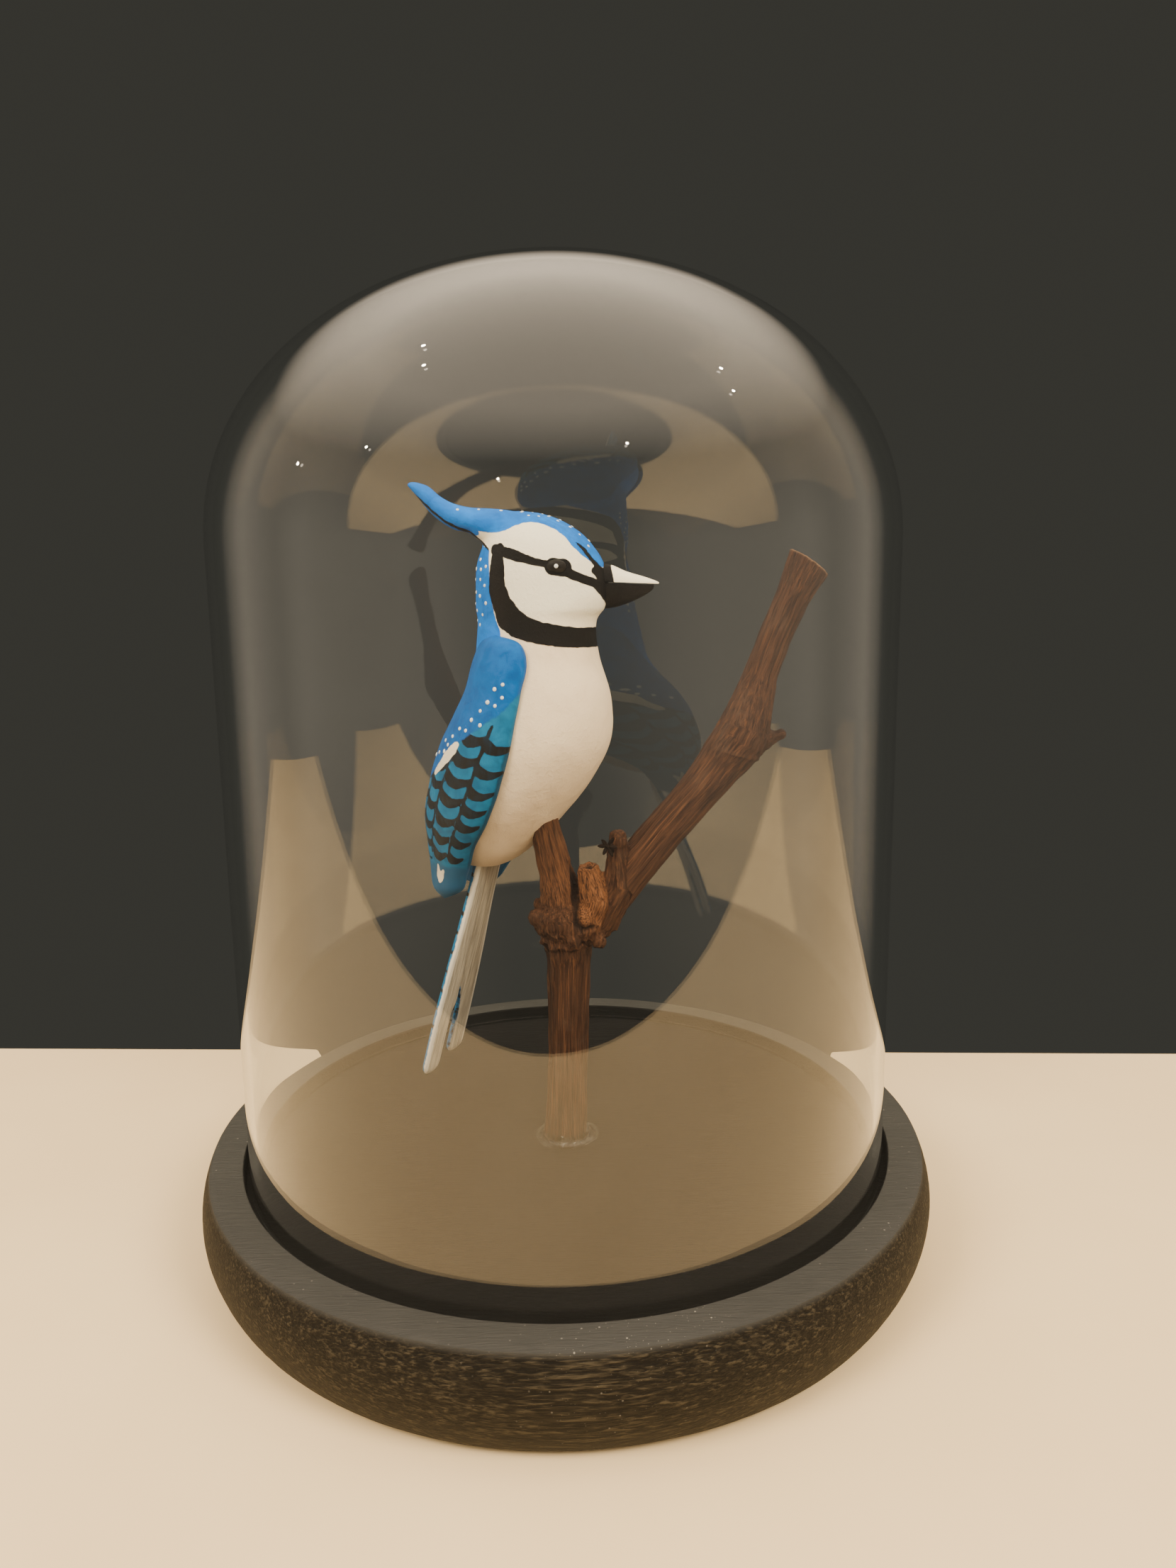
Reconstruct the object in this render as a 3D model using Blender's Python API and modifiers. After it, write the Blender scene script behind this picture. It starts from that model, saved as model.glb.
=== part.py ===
"""A glass bell jar on a turned wooden base, with a carved and painted bird on a forked branch inside.

Metres, +Z up. The origin is at the middle of the underside, +X is the way the bird's beak points.
"""
import math

import bmesh
import bpy
import numpy as np
from mathutils import Matrix, Vector

MM = 0.001

# Glass dome
GLASS_RADIUS = 0.1000
GLASS_WALL = 0.0025
DOME_RISE = 0.0789
DOME_POWER = 2.07
SPRING_Z = 0.2149

# Base
FELT_RADIUS = 0.1000
FELT_THICKNESS = 0.0015
RIM_Z = 0.0315
RECESS_RADIUS = 0.1015
RECESS_DEPTH = 0.0050
BULLNOSE_RADIUS = 0.0267
BULLNOSE_R = 0.0877
BULLNOSE_Z = 0.0195

# Hidden fixings
SCREW_HEAD_RADIUS = 0.0046
SCREW_HEAD_HEIGHT = 0.0030
SCREW_SHANK_RADIUS = 0.0023
SCREW_TIP_Z = 0.0500
PIN_RADIUS = 0.0015
PIN_LENGTH = 0.0240
HOLE_CLEARANCE = 0.0004

# Bird
PERCH_X = -0.0050
BODY_YAW = 35.0
HEAD_YAW = 5.0
EYE_RADIUS = 0.0028
PARTING_HEIGHT = 205.75
PARTING_SLOPE = -0.05

# Every pair of pieces that touch keeps this gap
GAP = 0.0003
TURNED_STEPS = 48
WELD = 0.00001

FLOOR_Z = RIM_Z - RECESS_DEPTH
WOOD_Z = FELT_THICKNESS + GAP
FOOT_Z = FLOOR_Z + GAP

# Body rings from rump to crown, in mm and degrees: height, centre x, half length, half width, yaw
BODY_RINGS = (
    (114.6, -25.5, 0.0, 0.0, 35),
    (115.6, -25.2, 6.5, 6.2, 35),
    (119.5, -24.3, 11.7, 10.6, 35),
    (127.0, -21.3, 17.4, 15.2, 35),
    (135.5, -17.7, 21.8, 19.2, 35),
    (146.0, -12.9, 25.7, 21.5, 35),
    (158.0, -8.6, 26.6, 22.0, 35),
    (171.0, -6.1, 24.0, 20.5, 35),
    (183.0, -5.8, 21.2, 18.0, 32),
    (193.0, -5.2, 19.6, 15.6, 22),
    (202.0, -4.6, 20.0, 14.6, 10),
    (210.0, -4.6, 19.2, 14.2, 5),
    (217.0, -5.8, 15.8, 12.8, 5),
    (222.5, -8.0, 11.8, 10.0, 5),
    (226.2, -10.5, 7.0, 6.2, 5),
    (227.5, -12.0, 0.0, 0.0, 5),
)

# Wing rings from shoulder to tip: height, centre x, half length and half width of the flank that the
# wing lies on, then the wing's middle angle and half angle round that flank, and its thickness
WING_RINGS = (
    (190.5, -6.5, 19.0, 17.0, 100, 0, 0.0),
    (188.5, -6.2, 19.5, 17.6, 100, 20, 2.6),
    (182.0, -6.0, 21.6, 18.8, 105, 34, 4.0),
    (172.0, -6.3, 24.2, 20.8, 113, 42, 4.2),
    (158.0, -8.7, 27.0, 22.4, 117, 46, 4.2),
    (145.0, -12.9, 26.8, 21.9, 117, 46, 4.0),
    (134.0, -17.9, 23.8, 19.8, 116, 45, 3.8),
    (124.0, -23.3, 18.2, 16.0, 114, 43, 3.4),
    (114.0, -28.3, 12.8, 11.8, 112, 38, 3.0),
    (108.0, -31.0, 9.8, 9.6, 112, 24, 2.4),
    (105.8, -32.0, 9.0, 9.0, 112, 0, 0.0),
)

# Crest rings from inside the head to its tip: forward, height, half height, half width
CREST_RINGS = (
    (4.0, 218.0, 0.0, 0.0),
    (0.0, 219.0, 4.5, 4.5),
    (-8.0, 220.4, 6.8, 7.0),
    (-16.0, 222.4, 5.6, 6.4),
    (-21.0, 223.7, 3.9, 5.2),
    (-25.6, 224.9, 3.9, 4.4),
    (-29.6, 227.2, 3.8, 3.6),
    (-33.0, 230.2, 3.7, 2.9),
    (-36.2, 232.8, 2.3, 2.0),
    (-38.6, 234.3, 0.9, 1.2),
    (-39.6, 234.4, 0.0, 0.0),
)

# Beak rings from inside the head to the tip: forward, height, half height, half width
UPPER_BEAK_RINGS = (
    (12.0, 205.5, 0.0, 0.0),
    (13.5, 205.5, 5.6, 5.6),
    (20.5, 204.7, 5.5, 4.9),
    (26.0, 204.4, 3.5, 3.4),
    (31.5, 204.3, 1.9, 1.9),
    (35.0, 204.3, 0.6, 0.8),
    (35.7, 204.4, 0.0, 0.0),
)
LOWER_BEAK_RINGS = (
    (12.0, 203.4, 0.0, 0.0),
    (13.5, 203.4, 5.8, 5.3),
    (20.5, 203.6, 6.0, 4.6),
    (26.0, 203.7, 3.8, 3.1),
    (31.0, 203.9, 1.8, 1.7),
    (33.6, 203.6, 0.7, 0.8),
    (34.2, 203.5, 0.0, 0.0),
)

# Tail: forward and height of its middle line at the root and the tip
TAIL_ROOT = (-22.0, 121.0)
TAIL_TIP = (-47.8, 40.5)
TAIL_THICKNESS = 3.2
TAIL_HALF_WIDTHS = (4.6, 5.4, 7.4, 8.3, 8.4)
TAIL_SHORTER = 5.0

# Branch runs, in mm: x, y, z, radius
STEM_RUN = (
    (-0.2, 0, 26.8, 7.2),
    (0.1, 0, 45, 6.9),
    (0.6, 0, 65, 7.0),
    (1.0, 0, 86, 7.4),
    (1.0, 0, 97, 8.8),
    (-0.4, 0, 106, 6.8),
    (-1.9, 0, 114, 5.5),
    (-4.0, 0, 122, 5.2),
    (-5.6, 0, 129, 5.1),
    (-6.8, 0, 134, 5.0),
)
ARM_RUN = (
    (5.0, 0, 97.0, 6.4),
    (14.8, 0, 104.7, 6.8),
    (25.7, 0, 120.4, 6.6),
    (33.7, 0, 129.9, 6.5),
    (42.3, 0, 139.5, 6.6),
    (50.0, 0, 148.9, 7.3),
    (56.6, 0, 157.5, 8.6),
    (59.3, 0, 166.5, 7.0),
    (62.2, 0, 176.0, 5.3),
    (66.2, 0, 187.0, 4.9),
    (71.4, 0, 199.0, 5.3),
    (75.0, 0, 206.5, 6.4),
    (80.5, 0, 217.5, 7.8),
)
STUB_RUN = ((8.0, -1, 98, 6.8), (11.5, -3, 106, 5.6), (9.2, -4, 117.6, 4.2))
SPUR_RUN = ((12.0, -1, 100, 6.0), (17.5, -2, 110, 5.2), (17.2, -3, 121, 3.6), (17.4, -3, 128.2, 2.6))
BUD_RUN = ((57.0, 0, 157.0, 5.5), (64.0, 0, 156.4, 3.6), (68.2, 0, 157.3, 1.6))
KNOT_CENTRE = (2.6, 0.0, 99.8)
KNOT_RADII = (12.8, 10.5, 8.2)
ARM_CUT_POINT = (76.6, 0, 210.1)
ARM_CUT_NORMAL = (0.578, 0, 0.816)
BRANCH_SIDES = 4


def clear_scene():
    """Remove every object that the file already holds."""
    for old in list(bpy.data.objects):
        bpy.data.objects.remove(old, do_unlink=True)


def new_collection(name):
    """Make a collection in the scene."""
    collection = bpy.data.collections.new(name)
    bpy.context.scene.collection.children.link(collection)
    return collection


def new_material(name, colour, roughness, metallic=0.0, transmission=0.0):
    """Make a Principled material."""
    material = bpy.data.materials.new(name)
    material.use_nodes = True
    shader = material.node_tree.nodes["Principled BSDF"]
    shader.inputs["Base Color"].default_value = (*colour, 1.0)
    shader.inputs["Roughness"].default_value = roughness
    shader.inputs["Metallic"].default_value = metallic
    shader.inputs["Transmission Weight"].default_value = transmission
    material.diffuse_color = (*colour, 1.0)
    return material


def add_object(name, mesh, material, collection):
    """Put a mesh in the scene as a named piece, smooth but for its real edges."""
    piece = bpy.data.objects.new(name, mesh)
    collection.objects.link(piece)
    if material:
        mesh.materials.append(material)
    mesh.shade_smooth()
    mesh.set_sharp_from_angle(angle=math.radians(35))
    return piece


def point_faces_out(bm):
    """Give a closed bmesh faces that agree with each other and point out."""
    bmesh.ops.recalc_face_normals(bm, faces=bm.faces)
    if bm.calc_volume(signed=True) < 0:
        bmesh.ops.reverse_faces(bm, faces=bm.faces)


def mesh_from(bm, name):
    """Turn a bmesh into mesh data with its faces pointing out."""
    point_faces_out(bm)
    mesh = bpy.data.meshes.new(name)
    bm.to_mesh(mesh)
    bm.free()
    return mesh


def smooth_row(rows, t):
    """Read a smooth curve through evenly spaced rows at t, from 0 at the first to 1 at the last."""
    table = np.asarray(rows, float)
    last = len(table) - 1
    i = min(int(t * last), last - 1)
    f = t * last - i
    start, end = table[i], table[i + 1]
    start_slope = (end - table[max(i - 1, 0)]) / 2
    end_slope = (table[min(i + 2, last)] - start) / 2
    return (
        (2 * f**3 - 3 * f**2 + 1) * start
        + (f**3 - 2 * f**2 + f) * start_slope
        + (3 * f**2 - 2 * f**3) * end
        + (f**3 - f**2) * end_slope
    )


def shaped_sphere(name, point, sides, rings):
    """Make a closed form from a sphere. point(t, angle) places the vertex at t along it and angle round."""
    bm = bmesh.new()
    bmesh.ops.create_uvsphere(bm, u_segments=sides, v_segments=rings, radius=1.0)
    for vertex in bm.verts:
        t = 1.0 - math.acos(max(-1.0, min(1.0, vertex.co.z))) / math.pi
        vertex.co = point(t, math.atan2(vertex.co.y, vertex.co.x))
    return mesh_from(bm, name)


def bird_point(forward, right, height, yaw):
    """Turn a place on the bird, in mm, into a place in the scene: yaw turns its front to -Y."""
    turn = math.radians(yaw)
    x = forward * math.cos(turn) - right * math.sin(turn)
    y = -forward * math.sin(turn) - right * math.cos(turn)
    return Vector((PERCH_X + x * MM, y * MM, height * MM))


def spine_point(centre_x, height):
    """Place the middle of a body ring: the bird leans in the plane that its body faces."""
    forward = (centre_x * MM - PERCH_X) / MM / math.cos(math.radians(BODY_YAW))
    return bird_point(forward, 0.0, height, BODY_YAW)


def flank_point(centre_x, height, length, width, yaw, angle):
    """Place a point on the oval round a body ring, at an angle from the bird's front to its right."""
    offset = bird_point(length * math.cos(angle), width * math.sin(angle), 0.0, yaw)
    offset.x -= PERCH_X
    return spine_point(centre_x, height) + offset


def body_point(t, angle):
    """Place a point on the body and head."""
    height, centre_x, length, width, yaw = smooth_row(BODY_RINGS, t)
    return flank_point(centre_x, height, max(length, 0.0), max(width, 0.0), yaw, angle)


def wing_point(side):
    """Return the function that places a point on the right (1) or left (-1) wing."""

    def place(t, angle):
        height, centre_x, length, width, middle, half, thick = smooth_row(WING_RINGS, 1.0 - t)
        round_flank = math.radians(middle + max(half, 0.0) * math.cos(angle))
        out = max(thick, 0.0) * max(math.sin(angle), 0.0) ** 0.6
        reach = (length + out, width + out)
        return flank_point(centre_x, height, *reach, BODY_YAW, side * round_flank)

    return place


def head_point(rows, half=0):
    """Return the function that places a point on a head piece: all of it, or the half of a beak above (1)
    or below (-1) the line where the beak opens."""

    def place(t, angle):
        forward, height, tall, wide = smooth_row(rows, t)
        z = height + max(tall, 0.0) * math.sin(angle)
        if half:
            parting = PARTING_HEIGHT + PARTING_SLOPE * forward + half * GAP / MM / 2
            z = half * max(half * z, half * parting)
        return bird_point(forward, max(wide, 0.0) * math.cos(angle), z, HEAD_YAW)

    return place


def turned(name, profile, material, collection, steps=TURNED_STEPS):
    """Turn a closed profile of (radius, height) points round Z. It runs down its outer side."""
    mesh = bpy.data.meshes.new(name)
    closed = profile[0][0] > WELD or profile[-1][0] > WELD
    edges = [(i, i + 1) for i in range(len(profile) - 1)]
    if closed:
        edges.append((len(profile) - 1, 0))
    mesh.from_pydata([(r, 0.0, z) for r, z in profile], edges, [])
    piece = add_object(name, mesh, material, collection)
    screw = piece.modifiers.new("Turn", "SCREW")
    screw.steps = screw.render_steps = steps
    screw.use_merge_vertices = True
    screw.merge_threshold = WELD
    screw.use_smooth_shade = True
    return piece


def arc(centre_r, centre_z, radius_r, radius_z, start, end, count, power=2.0):
    """Points on a (super)elliptic arc between two angles in degrees."""
    points = []
    for i in range(count + 1):
        a = math.radians(start + (end - start) * i / count)
        r = math.copysign(abs(math.cos(a)) ** (2.0 / power), math.cos(a)) if abs(math.cos(a)) > 1e-9 else 0.0
        z = math.copysign(abs(math.sin(a)) ** (2.0 / power), math.sin(a)) if abs(math.sin(a)) > 1e-9 else 0.0
        points.append((centre_r + radius_r * r, centre_z + radius_z * z))
    return points


def make_base(material, collection):
    """The turned base: flat rim, bullnose side, a recess for the glass and a screw hole."""
    top = math.degrees(math.asin((RIM_Z - BULLNOSE_Z) / BULLNOSE_RADIUS))
    bottom = math.degrees(math.asin((WOOD_Z + 0.0012 - BULLNOSE_Z) / BULLNOSE_RADIUS))
    side = arc(BULLNOSE_R, BULLNOSE_Z, BULLNOSE_RADIUS, BULLNOSE_RADIUS, top, bottom, 12)
    hole = SCREW_SHANK_RADIUS + HOLE_CLEARANCE
    head = SCREW_HEAD_RADIUS + HOLE_CLEARANCE
    profile = [(hole, FLOOR_Z), (RECESS_RADIUS, FLOOR_Z), (RECESS_RADIUS, RIM_Z - 0.0006)]
    profile += [(RECESS_RADIUS + 0.0006, RIM_Z), (side[0][0] - 0.0008, RIM_Z), *side[1:]]
    sink = WOOD_Z + 0.0010
    profile += [(side[-1][0] - 0.0016, WOOD_Z), (head, WOOD_Z), (head, sink), (hole, sink + SCREW_HEAD_HEIGHT)]
    return turned("turned_base", profile, material, collection)


def make_felt(material, collection):
    """The felt disc under the base."""
    profile = [(0.0, FELT_THICKNESS), (FELT_RADIUS, FELT_THICKNESS), (FELT_RADIUS, 0.0), (0.0, 0.0)]
    return turned("base_felt", profile, material, collection)


def make_dome(material, collection):
    """The blown glass dome: one wall, open below, with a fire-rounded rim."""
    inside = GLASS_RADIUS - GLASS_WALL
    half = GLASS_WALL / 2
    profile = arc(0.0, SPRING_Z, GLASS_RADIUS, DOME_RISE, 90, 0, 9, DOME_POWER)
    profile += arc(GLASS_RADIUS - half, FOOT_Z + half, half, half, 0, -180, 4)
    profile += arc(0.0, SPRING_Z, inside, DOME_RISE - GLASS_WALL, 0, 90, 9, DOME_POWER)
    return turned("glass_dome", profile, material, collection)


def make_screw(material, collection):
    """The countersunk wood screw that holds the branch from below."""
    head_z = WOOD_Z + GAP
    profile = [
        (0.0, SCREW_TIP_Z),
        (0.0008, SCREW_TIP_Z - 0.0015),
        (SCREW_SHANK_RADIUS, SCREW_TIP_Z - 0.0060),
        (SCREW_SHANK_RADIUS, head_z + SCREW_HEAD_HEIGHT - 0.0001),
        (SCREW_HEAD_RADIUS, head_z + 0.0004),
        (SCREW_HEAD_RADIUS, head_z),
        (0.0, head_z),
    ]
    return turned("stem_screw", profile, material, collection, steps=16)


def make_glue(material, collection):
    """The bead of clear glue round the foot of the branch."""
    inner = STEM_RUN[0][3] * MM + 0.0004
    profile = [
        (inner, FOOT_Z + 0.0032),
        (inner + 0.0008, FOOT_Z + 0.0029),
        (inner + 0.0020, FOOT_Z + 0.0016),
        (inner + 0.0032, FOOT_Z + 0.0008),
        (inner + 0.0037, FOOT_Z),
        (inner, FOOT_Z),
    ]
    return turned("foot_glue", profile, material, collection, steps=24)


def tube(name, run, collection):
    """Make a run of branch as a mesh tube from a curve whose radius follows the run."""
    curve = bpy.data.curves.new(name, "CURVE")
    curve.dimensions = "3D"
    curve.bevel_depth = 1.0
    curve.bevel_resolution = BRANCH_SIDES
    curve.use_fill_caps = True
    spline = curve.splines.new("POLY")
    spline.points.add(len(run) - 1)
    for point, (x, y, z, radius) in zip(spline.points, run):
        point.co = (x * MM, y * MM, z * MM, 1.0)
        point.radius = radius * MM
    guide = bpy.data.objects.new(name, curve)
    collection.objects.link(guide)
    bpy.context.view_layer.update()
    seen = guide.evaluated_get(bpy.context.evaluated_depsgraph_get())
    mesh = bpy.data.meshes.new_from_object(seen)
    bpy.data.objects.remove(guide)
    bpy.data.curves.remove(curve)
    bm = bmesh.new()
    bm.from_mesh(mesh)
    bmesh.ops.remove_doubles(bm, verts=bm.verts, dist=WELD)
    point_faces_out(bm)
    bm.to_mesh(mesh)
    bm.free()
    return mesh


def add_cutter(name, mesh, collection):
    """Keep a mesh as a cutter or a shape to join: seen as wire, and never built."""
    cutter = bpy.data.objects.new(name, mesh)
    collection.objects.link(cutter)
    cutter.hide_render = True
    cutter.display_type = "WIRE"
    return cutter


def combine(piece, other, operation):
    """Add a Boolean modifier that joins the other shape to a piece or cuts it away."""
    boolean = piece.modifiers.new(f"{operation.title()} {other.name}", "BOOLEAN")
    boolean.operation = operation
    boolean.object = other
    boolean.solver = "EXACT"


def make_branch(material, collection, cutters):
    """The forked branch: stem and perch, long arm, two broken stubs, a bud and the knot they leave."""
    branch = add_object("forked_branch", tube("stem", STEM_RUN, cutters), material, collection)
    knot = bmesh.new()
    place = Matrix.Translation(Vector(KNOT_CENTRE) * MM) @ Matrix.Diagonal((*KNOT_RADII, 1.0)) @ Matrix.Scale(MM, 4)
    bmesh.ops.create_uvsphere(knot, u_segments=14, v_segments=9, radius=1.0, matrix=place)
    joined = [add_cutter("knot_shape", mesh_from(knot, "knot_shape"), cutters)]
    arm = bmesh.new()
    arm.from_mesh(tube("long_arm", ARM_RUN, cutters))
    sides = arm.verts[:] + arm.edges[:] + arm.faces[:]
    cut = bmesh.ops.bisect_plane(
        arm,
        geom=sides,
        plane_co=Vector(ARM_CUT_POINT) * MM,
        plane_no=ARM_CUT_NORMAL,
        clear_outer=True,
    )
    rim = [item for item in cut["geom_cut"] if isinstance(item, bmesh.types.BMEdge)]
    bmesh.ops.contextual_create(arm, geom=rim)
    joined.append(add_cutter("arm_shape", mesh_from(arm, "arm_shape"), cutters))
    for name, run in (("stub_shape", STUB_RUN), ("spur_shape", SPUR_RUN), ("bud_shape", BUD_RUN)):
        joined.append(add_cutter(name, tube(name, run, cutters), cutters))
    for shape in joined:
        combine(branch, shape, "UNION")
    return branch


def rod(name, start, end, radius, sides, collection=None, material=None, cutters=None):
    """Make a round rod between two points, as a piece or as a cutter."""
    bm = bmesh.new()
    along = end - start
    place = Matrix.Translation((start + end) / 2) @ along.to_track_quat("Z", "Y").to_matrix().to_4x4()
    bmesh.ops.create_cone(
        bm,
        cap_ends=True,
        segments=sides,
        radius1=radius,
        radius2=radius,
        depth=along.length,
        matrix=place,
    )
    mesh = mesh_from(bm, name)
    return add_cutter(name, mesh, cutters) if cutters else add_object(name, mesh, material, collection)


def make_body_clearance(cutters):
    """The body grown by the gap, which trims each piece that is fixed to it."""
    bm = bmesh.new()
    bm.from_mesh(shaped_sphere("body_clearance", body_point, 28, 30))
    bm.normal_update()
    for vertex in bm.verts:
        vertex.co += vertex.normal * (GAP + 0.0001)
    return add_cutter("body_clearance", mesh_from(bm, "body_clearance"), cutters)


def make_tail_feather(name, side, material, collection):
    """One tail slat. The right one is the longer, and both are narrow at the root."""
    root, tip = Vector(TAIL_ROOT), Vector(TAIL_TIP)
    along = (tip - root).normalized()
    length = (tip - root).length - (TAIL_SHORTER if side < 0 else 0.0)
    upward = Vector((along.y, -along.x))
    slit = (GAP + 0.0001) / MM / 2
    bm = bmesh.new()
    bmesh.ops.create_cube(bm, size=1.0)
    lengthwise = [e for e in bm.edges if abs(e.verts[0].co.z - e.verts[1].co.z) > 0.5]
    bmesh.ops.subdivide_edges(bm, edges=lengthwise, cuts=9, use_grid_fill=True)
    for vertex in bm.verts:
        t = 0.5 - vertex.co.z
        width = smooth_row([(w,) for w in TAIL_HALF_WIDTHS], t)[0]
        edge = 0.5 + vertex.co.x
        round_tip = 1.0 if t < 0.999 else 0.55
        spread = 0.7 * max(t - 0.72, 0.0) * 8.0
        right = side * (slit + spread * (1.0 - edge) * 0.5 + (width - slit) * (0.5 + (edge - 0.5) * round_tip))
        thick = TAIL_THICKNESS * (1.0 - 0.35 * t) * vertex.co.y
        place = root + along * (t * length) + upward * thick
        vertex.co = bird_point(place.x, right, place.y, BODY_YAW)
    return add_object(name, mesh_from(bm, name), material, collection)


def make_eye(name, side, material, collection):
    """One eye: a low oval boss on the side of the head."""
    bm = bmesh.new()
    bmesh.ops.create_uvsphere(bm, u_segments=14, v_segments=8, radius=EYE_RADIUS)
    centre = bird_point(4.6, side * 13.2, 209.4, HEAD_YAW)
    place = Matrix.Translation(centre) @ Matrix.Diagonal((1.15, 0.7, 0.8, 1.0))
    bmesh.ops.transform(bm, matrix=place, verts=bm.verts)
    return add_object(name, mesh_from(bm, name), material, collection)


def make_bird(paints, collection, cutters, clearance):
    """The carved bird: body and head in one, with crest, beak, wings, tail and eyes fixed to it."""
    white, blue, black = paints
    body = add_object("bird_body", shaped_sphere("bird_body", body_point, 28, 30), white, collection)
    crest = shaped_sphere("crest", head_point(CREST_RINGS), 12, 14)
    upper = shaped_sphere("beak_upper", head_point(UPPER_BEAK_RINGS, half=1), 12, 10)
    lower = shaped_sphere("beak_lower", head_point(LOWER_BEAK_RINGS, half=-1), 12, 10)
    fixed = [
        add_object("crest", crest, blue, collection),
        add_object("beak_upper", upper, white, collection),
        add_object("beak_lower", lower, black, collection),
        make_tail_feather("tail_feather_right", 1, white, collection),
        make_tail_feather("tail_feather_left", -1, white, collection),
        make_eye("eye_right", 1, black, collection),
        make_eye("eye_left", -1, black, collection),
    ]
    for name, side in (("wing_right", 1), ("wing_left", -1)):
        fixed.append(add_object(name, shaped_sphere(name, wing_point(side), 16, 16), blue, collection))
    for piece in fixed:
        combine(piece, clearance, "DIFFERENCE")
    return body


def fit_perch_pin(body, branch, material, collection, cutters):
    """The hidden dowel between perch and belly, with its holes in both."""
    top, below = Vector(STEM_RUN[-2][:3]) * MM, Vector(STEM_RUN[-3][:3]) * MM
    along = (top - below).normalized()
    middle = top
    start, end = middle - along * PIN_LENGTH / 2, middle + along * PIN_LENGTH / 2
    rod("perch_pin", start, end, PIN_RADIUS, 16, collection=collection, material=material)
    spare = along * 0.0006
    bore = rod("pin_hole", start - spare, end + spare, PIN_RADIUS + HOLE_CLEARANCE, 16, cutters=cutters)
    combine(body, bore, "DIFFERENCE")
    combine(branch, bore, "DIFFERENCE")


def fit_screw_hole(branch, cutters):
    """The blind hole that the screw fills in the stem."""
    start, end = Vector((0, 0, FOOT_Z - 0.002)), Vector((0, 0, SCREW_TIP_Z + 0.0006))
    bore = rod("screw_hole", start, end, SCREW_SHANK_RADIUS + HOLE_CLEARANCE, 16, cutters=cutters)
    combine(branch, bore, "DIFFERENCE")


def main():
    """Build the whole object."""
    clear_scene()
    pieces = new_collection("bell_jar_dome")
    cutters = new_collection("cutters")
    stained = new_material("black_stained_wood", (0.018, 0.017, 0.016), 0.62)
    felt = new_material("black_felt", (0.012, 0.012, 0.013), 0.95)
    glass = new_material("clear_glass", (0.96, 0.98, 0.97), 0.03, transmission=1.0)
    bark = new_material("vine_bark", (0.170, 0.070, 0.038), 0.78)
    glue = new_material("clear_glue", (0.80, 0.78, 0.70), 0.12, transmission=0.8)
    steel = new_material("steel", (0.55, 0.55, 0.56), 0.35, metallic=1.0)
    dowel = new_material("dowel_wood", (0.55, 0.36, 0.19), 0.60)
    white = new_material("painted_white", (0.80, 0.74, 0.66), 0.50)
    blue = new_material("painted_blue", (0.035, 0.215, 0.560), 0.45)
    black = new_material("painted_black", (0.012, 0.011, 0.010), 0.40)

    make_felt(felt, pieces)
    make_base(stained, pieces)
    make_dome(glass, pieces)
    make_screw(steel, pieces)
    make_glue(glue, pieces)
    branch = make_branch(bark, pieces, cutters)
    clearance = make_body_clearance(cutters)
    body = make_bird((white, blue, black), pieces, cutters, clearance)
    combine(branch, clearance, "DIFFERENCE")
    fit_perch_pin(body, branch, dowel, pieces, cutters)
    fit_screw_hole(branch, cutters)


main()
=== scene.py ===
"""Looks of a bell jar: a blown glass dome on a turned, black-stained base, with a carved bird on a vine branch.

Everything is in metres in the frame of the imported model: +Z up, and +X is the way the bird's beak points.
Sizes written in millimetres carry the scale MM.
"""

from __future__ import annotations

import logging
import math
import random
from dataclasses import dataclass
from enum import Enum
from typing import Any, Callable, Sequence

import bmesh
import bpy
import numpy as np
from mathutils import Matrix, Vector, noise
from mathutils.bvhtree import BVHTree

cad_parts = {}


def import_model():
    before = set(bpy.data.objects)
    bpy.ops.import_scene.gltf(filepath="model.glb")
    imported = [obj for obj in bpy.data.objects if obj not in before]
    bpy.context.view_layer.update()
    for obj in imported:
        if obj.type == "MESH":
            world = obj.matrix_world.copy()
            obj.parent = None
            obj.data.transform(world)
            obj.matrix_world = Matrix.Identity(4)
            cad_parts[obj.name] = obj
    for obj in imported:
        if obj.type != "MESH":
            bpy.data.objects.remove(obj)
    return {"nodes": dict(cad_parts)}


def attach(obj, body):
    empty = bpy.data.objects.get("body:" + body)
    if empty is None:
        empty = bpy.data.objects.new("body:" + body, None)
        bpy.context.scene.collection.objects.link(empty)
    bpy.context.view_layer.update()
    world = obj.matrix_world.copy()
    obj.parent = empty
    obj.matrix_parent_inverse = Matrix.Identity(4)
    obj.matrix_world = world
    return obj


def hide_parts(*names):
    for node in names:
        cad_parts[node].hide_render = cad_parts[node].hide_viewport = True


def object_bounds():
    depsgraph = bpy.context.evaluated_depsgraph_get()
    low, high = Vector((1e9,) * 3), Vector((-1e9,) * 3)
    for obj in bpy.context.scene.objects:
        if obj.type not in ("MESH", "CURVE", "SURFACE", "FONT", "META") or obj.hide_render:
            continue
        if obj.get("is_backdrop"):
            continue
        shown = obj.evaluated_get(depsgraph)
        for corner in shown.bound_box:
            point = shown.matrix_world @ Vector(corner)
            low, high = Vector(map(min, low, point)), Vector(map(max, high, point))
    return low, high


MM = 0.001
FAR = 50.0  # mm, farther from a painted shape than its soft edge reaches
LOG = logging.getLogger("bell_jar")

Array = np.ndarray
BMesh = bmesh.types.BMesh
Mesh = bpy.types.Mesh
Socket = bpy.types.NodeSocket
Colour = tuple[float, float, float]
Inputs = dict[int | str, Any]
Place = Callable[[Array, Array], Array]
Table = tuple[tuple[float, ...], ...]


class Body(Enum):
    """The bodies that pieces ride on."""

    BASE = "base"
    DOME = "dome"


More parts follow.
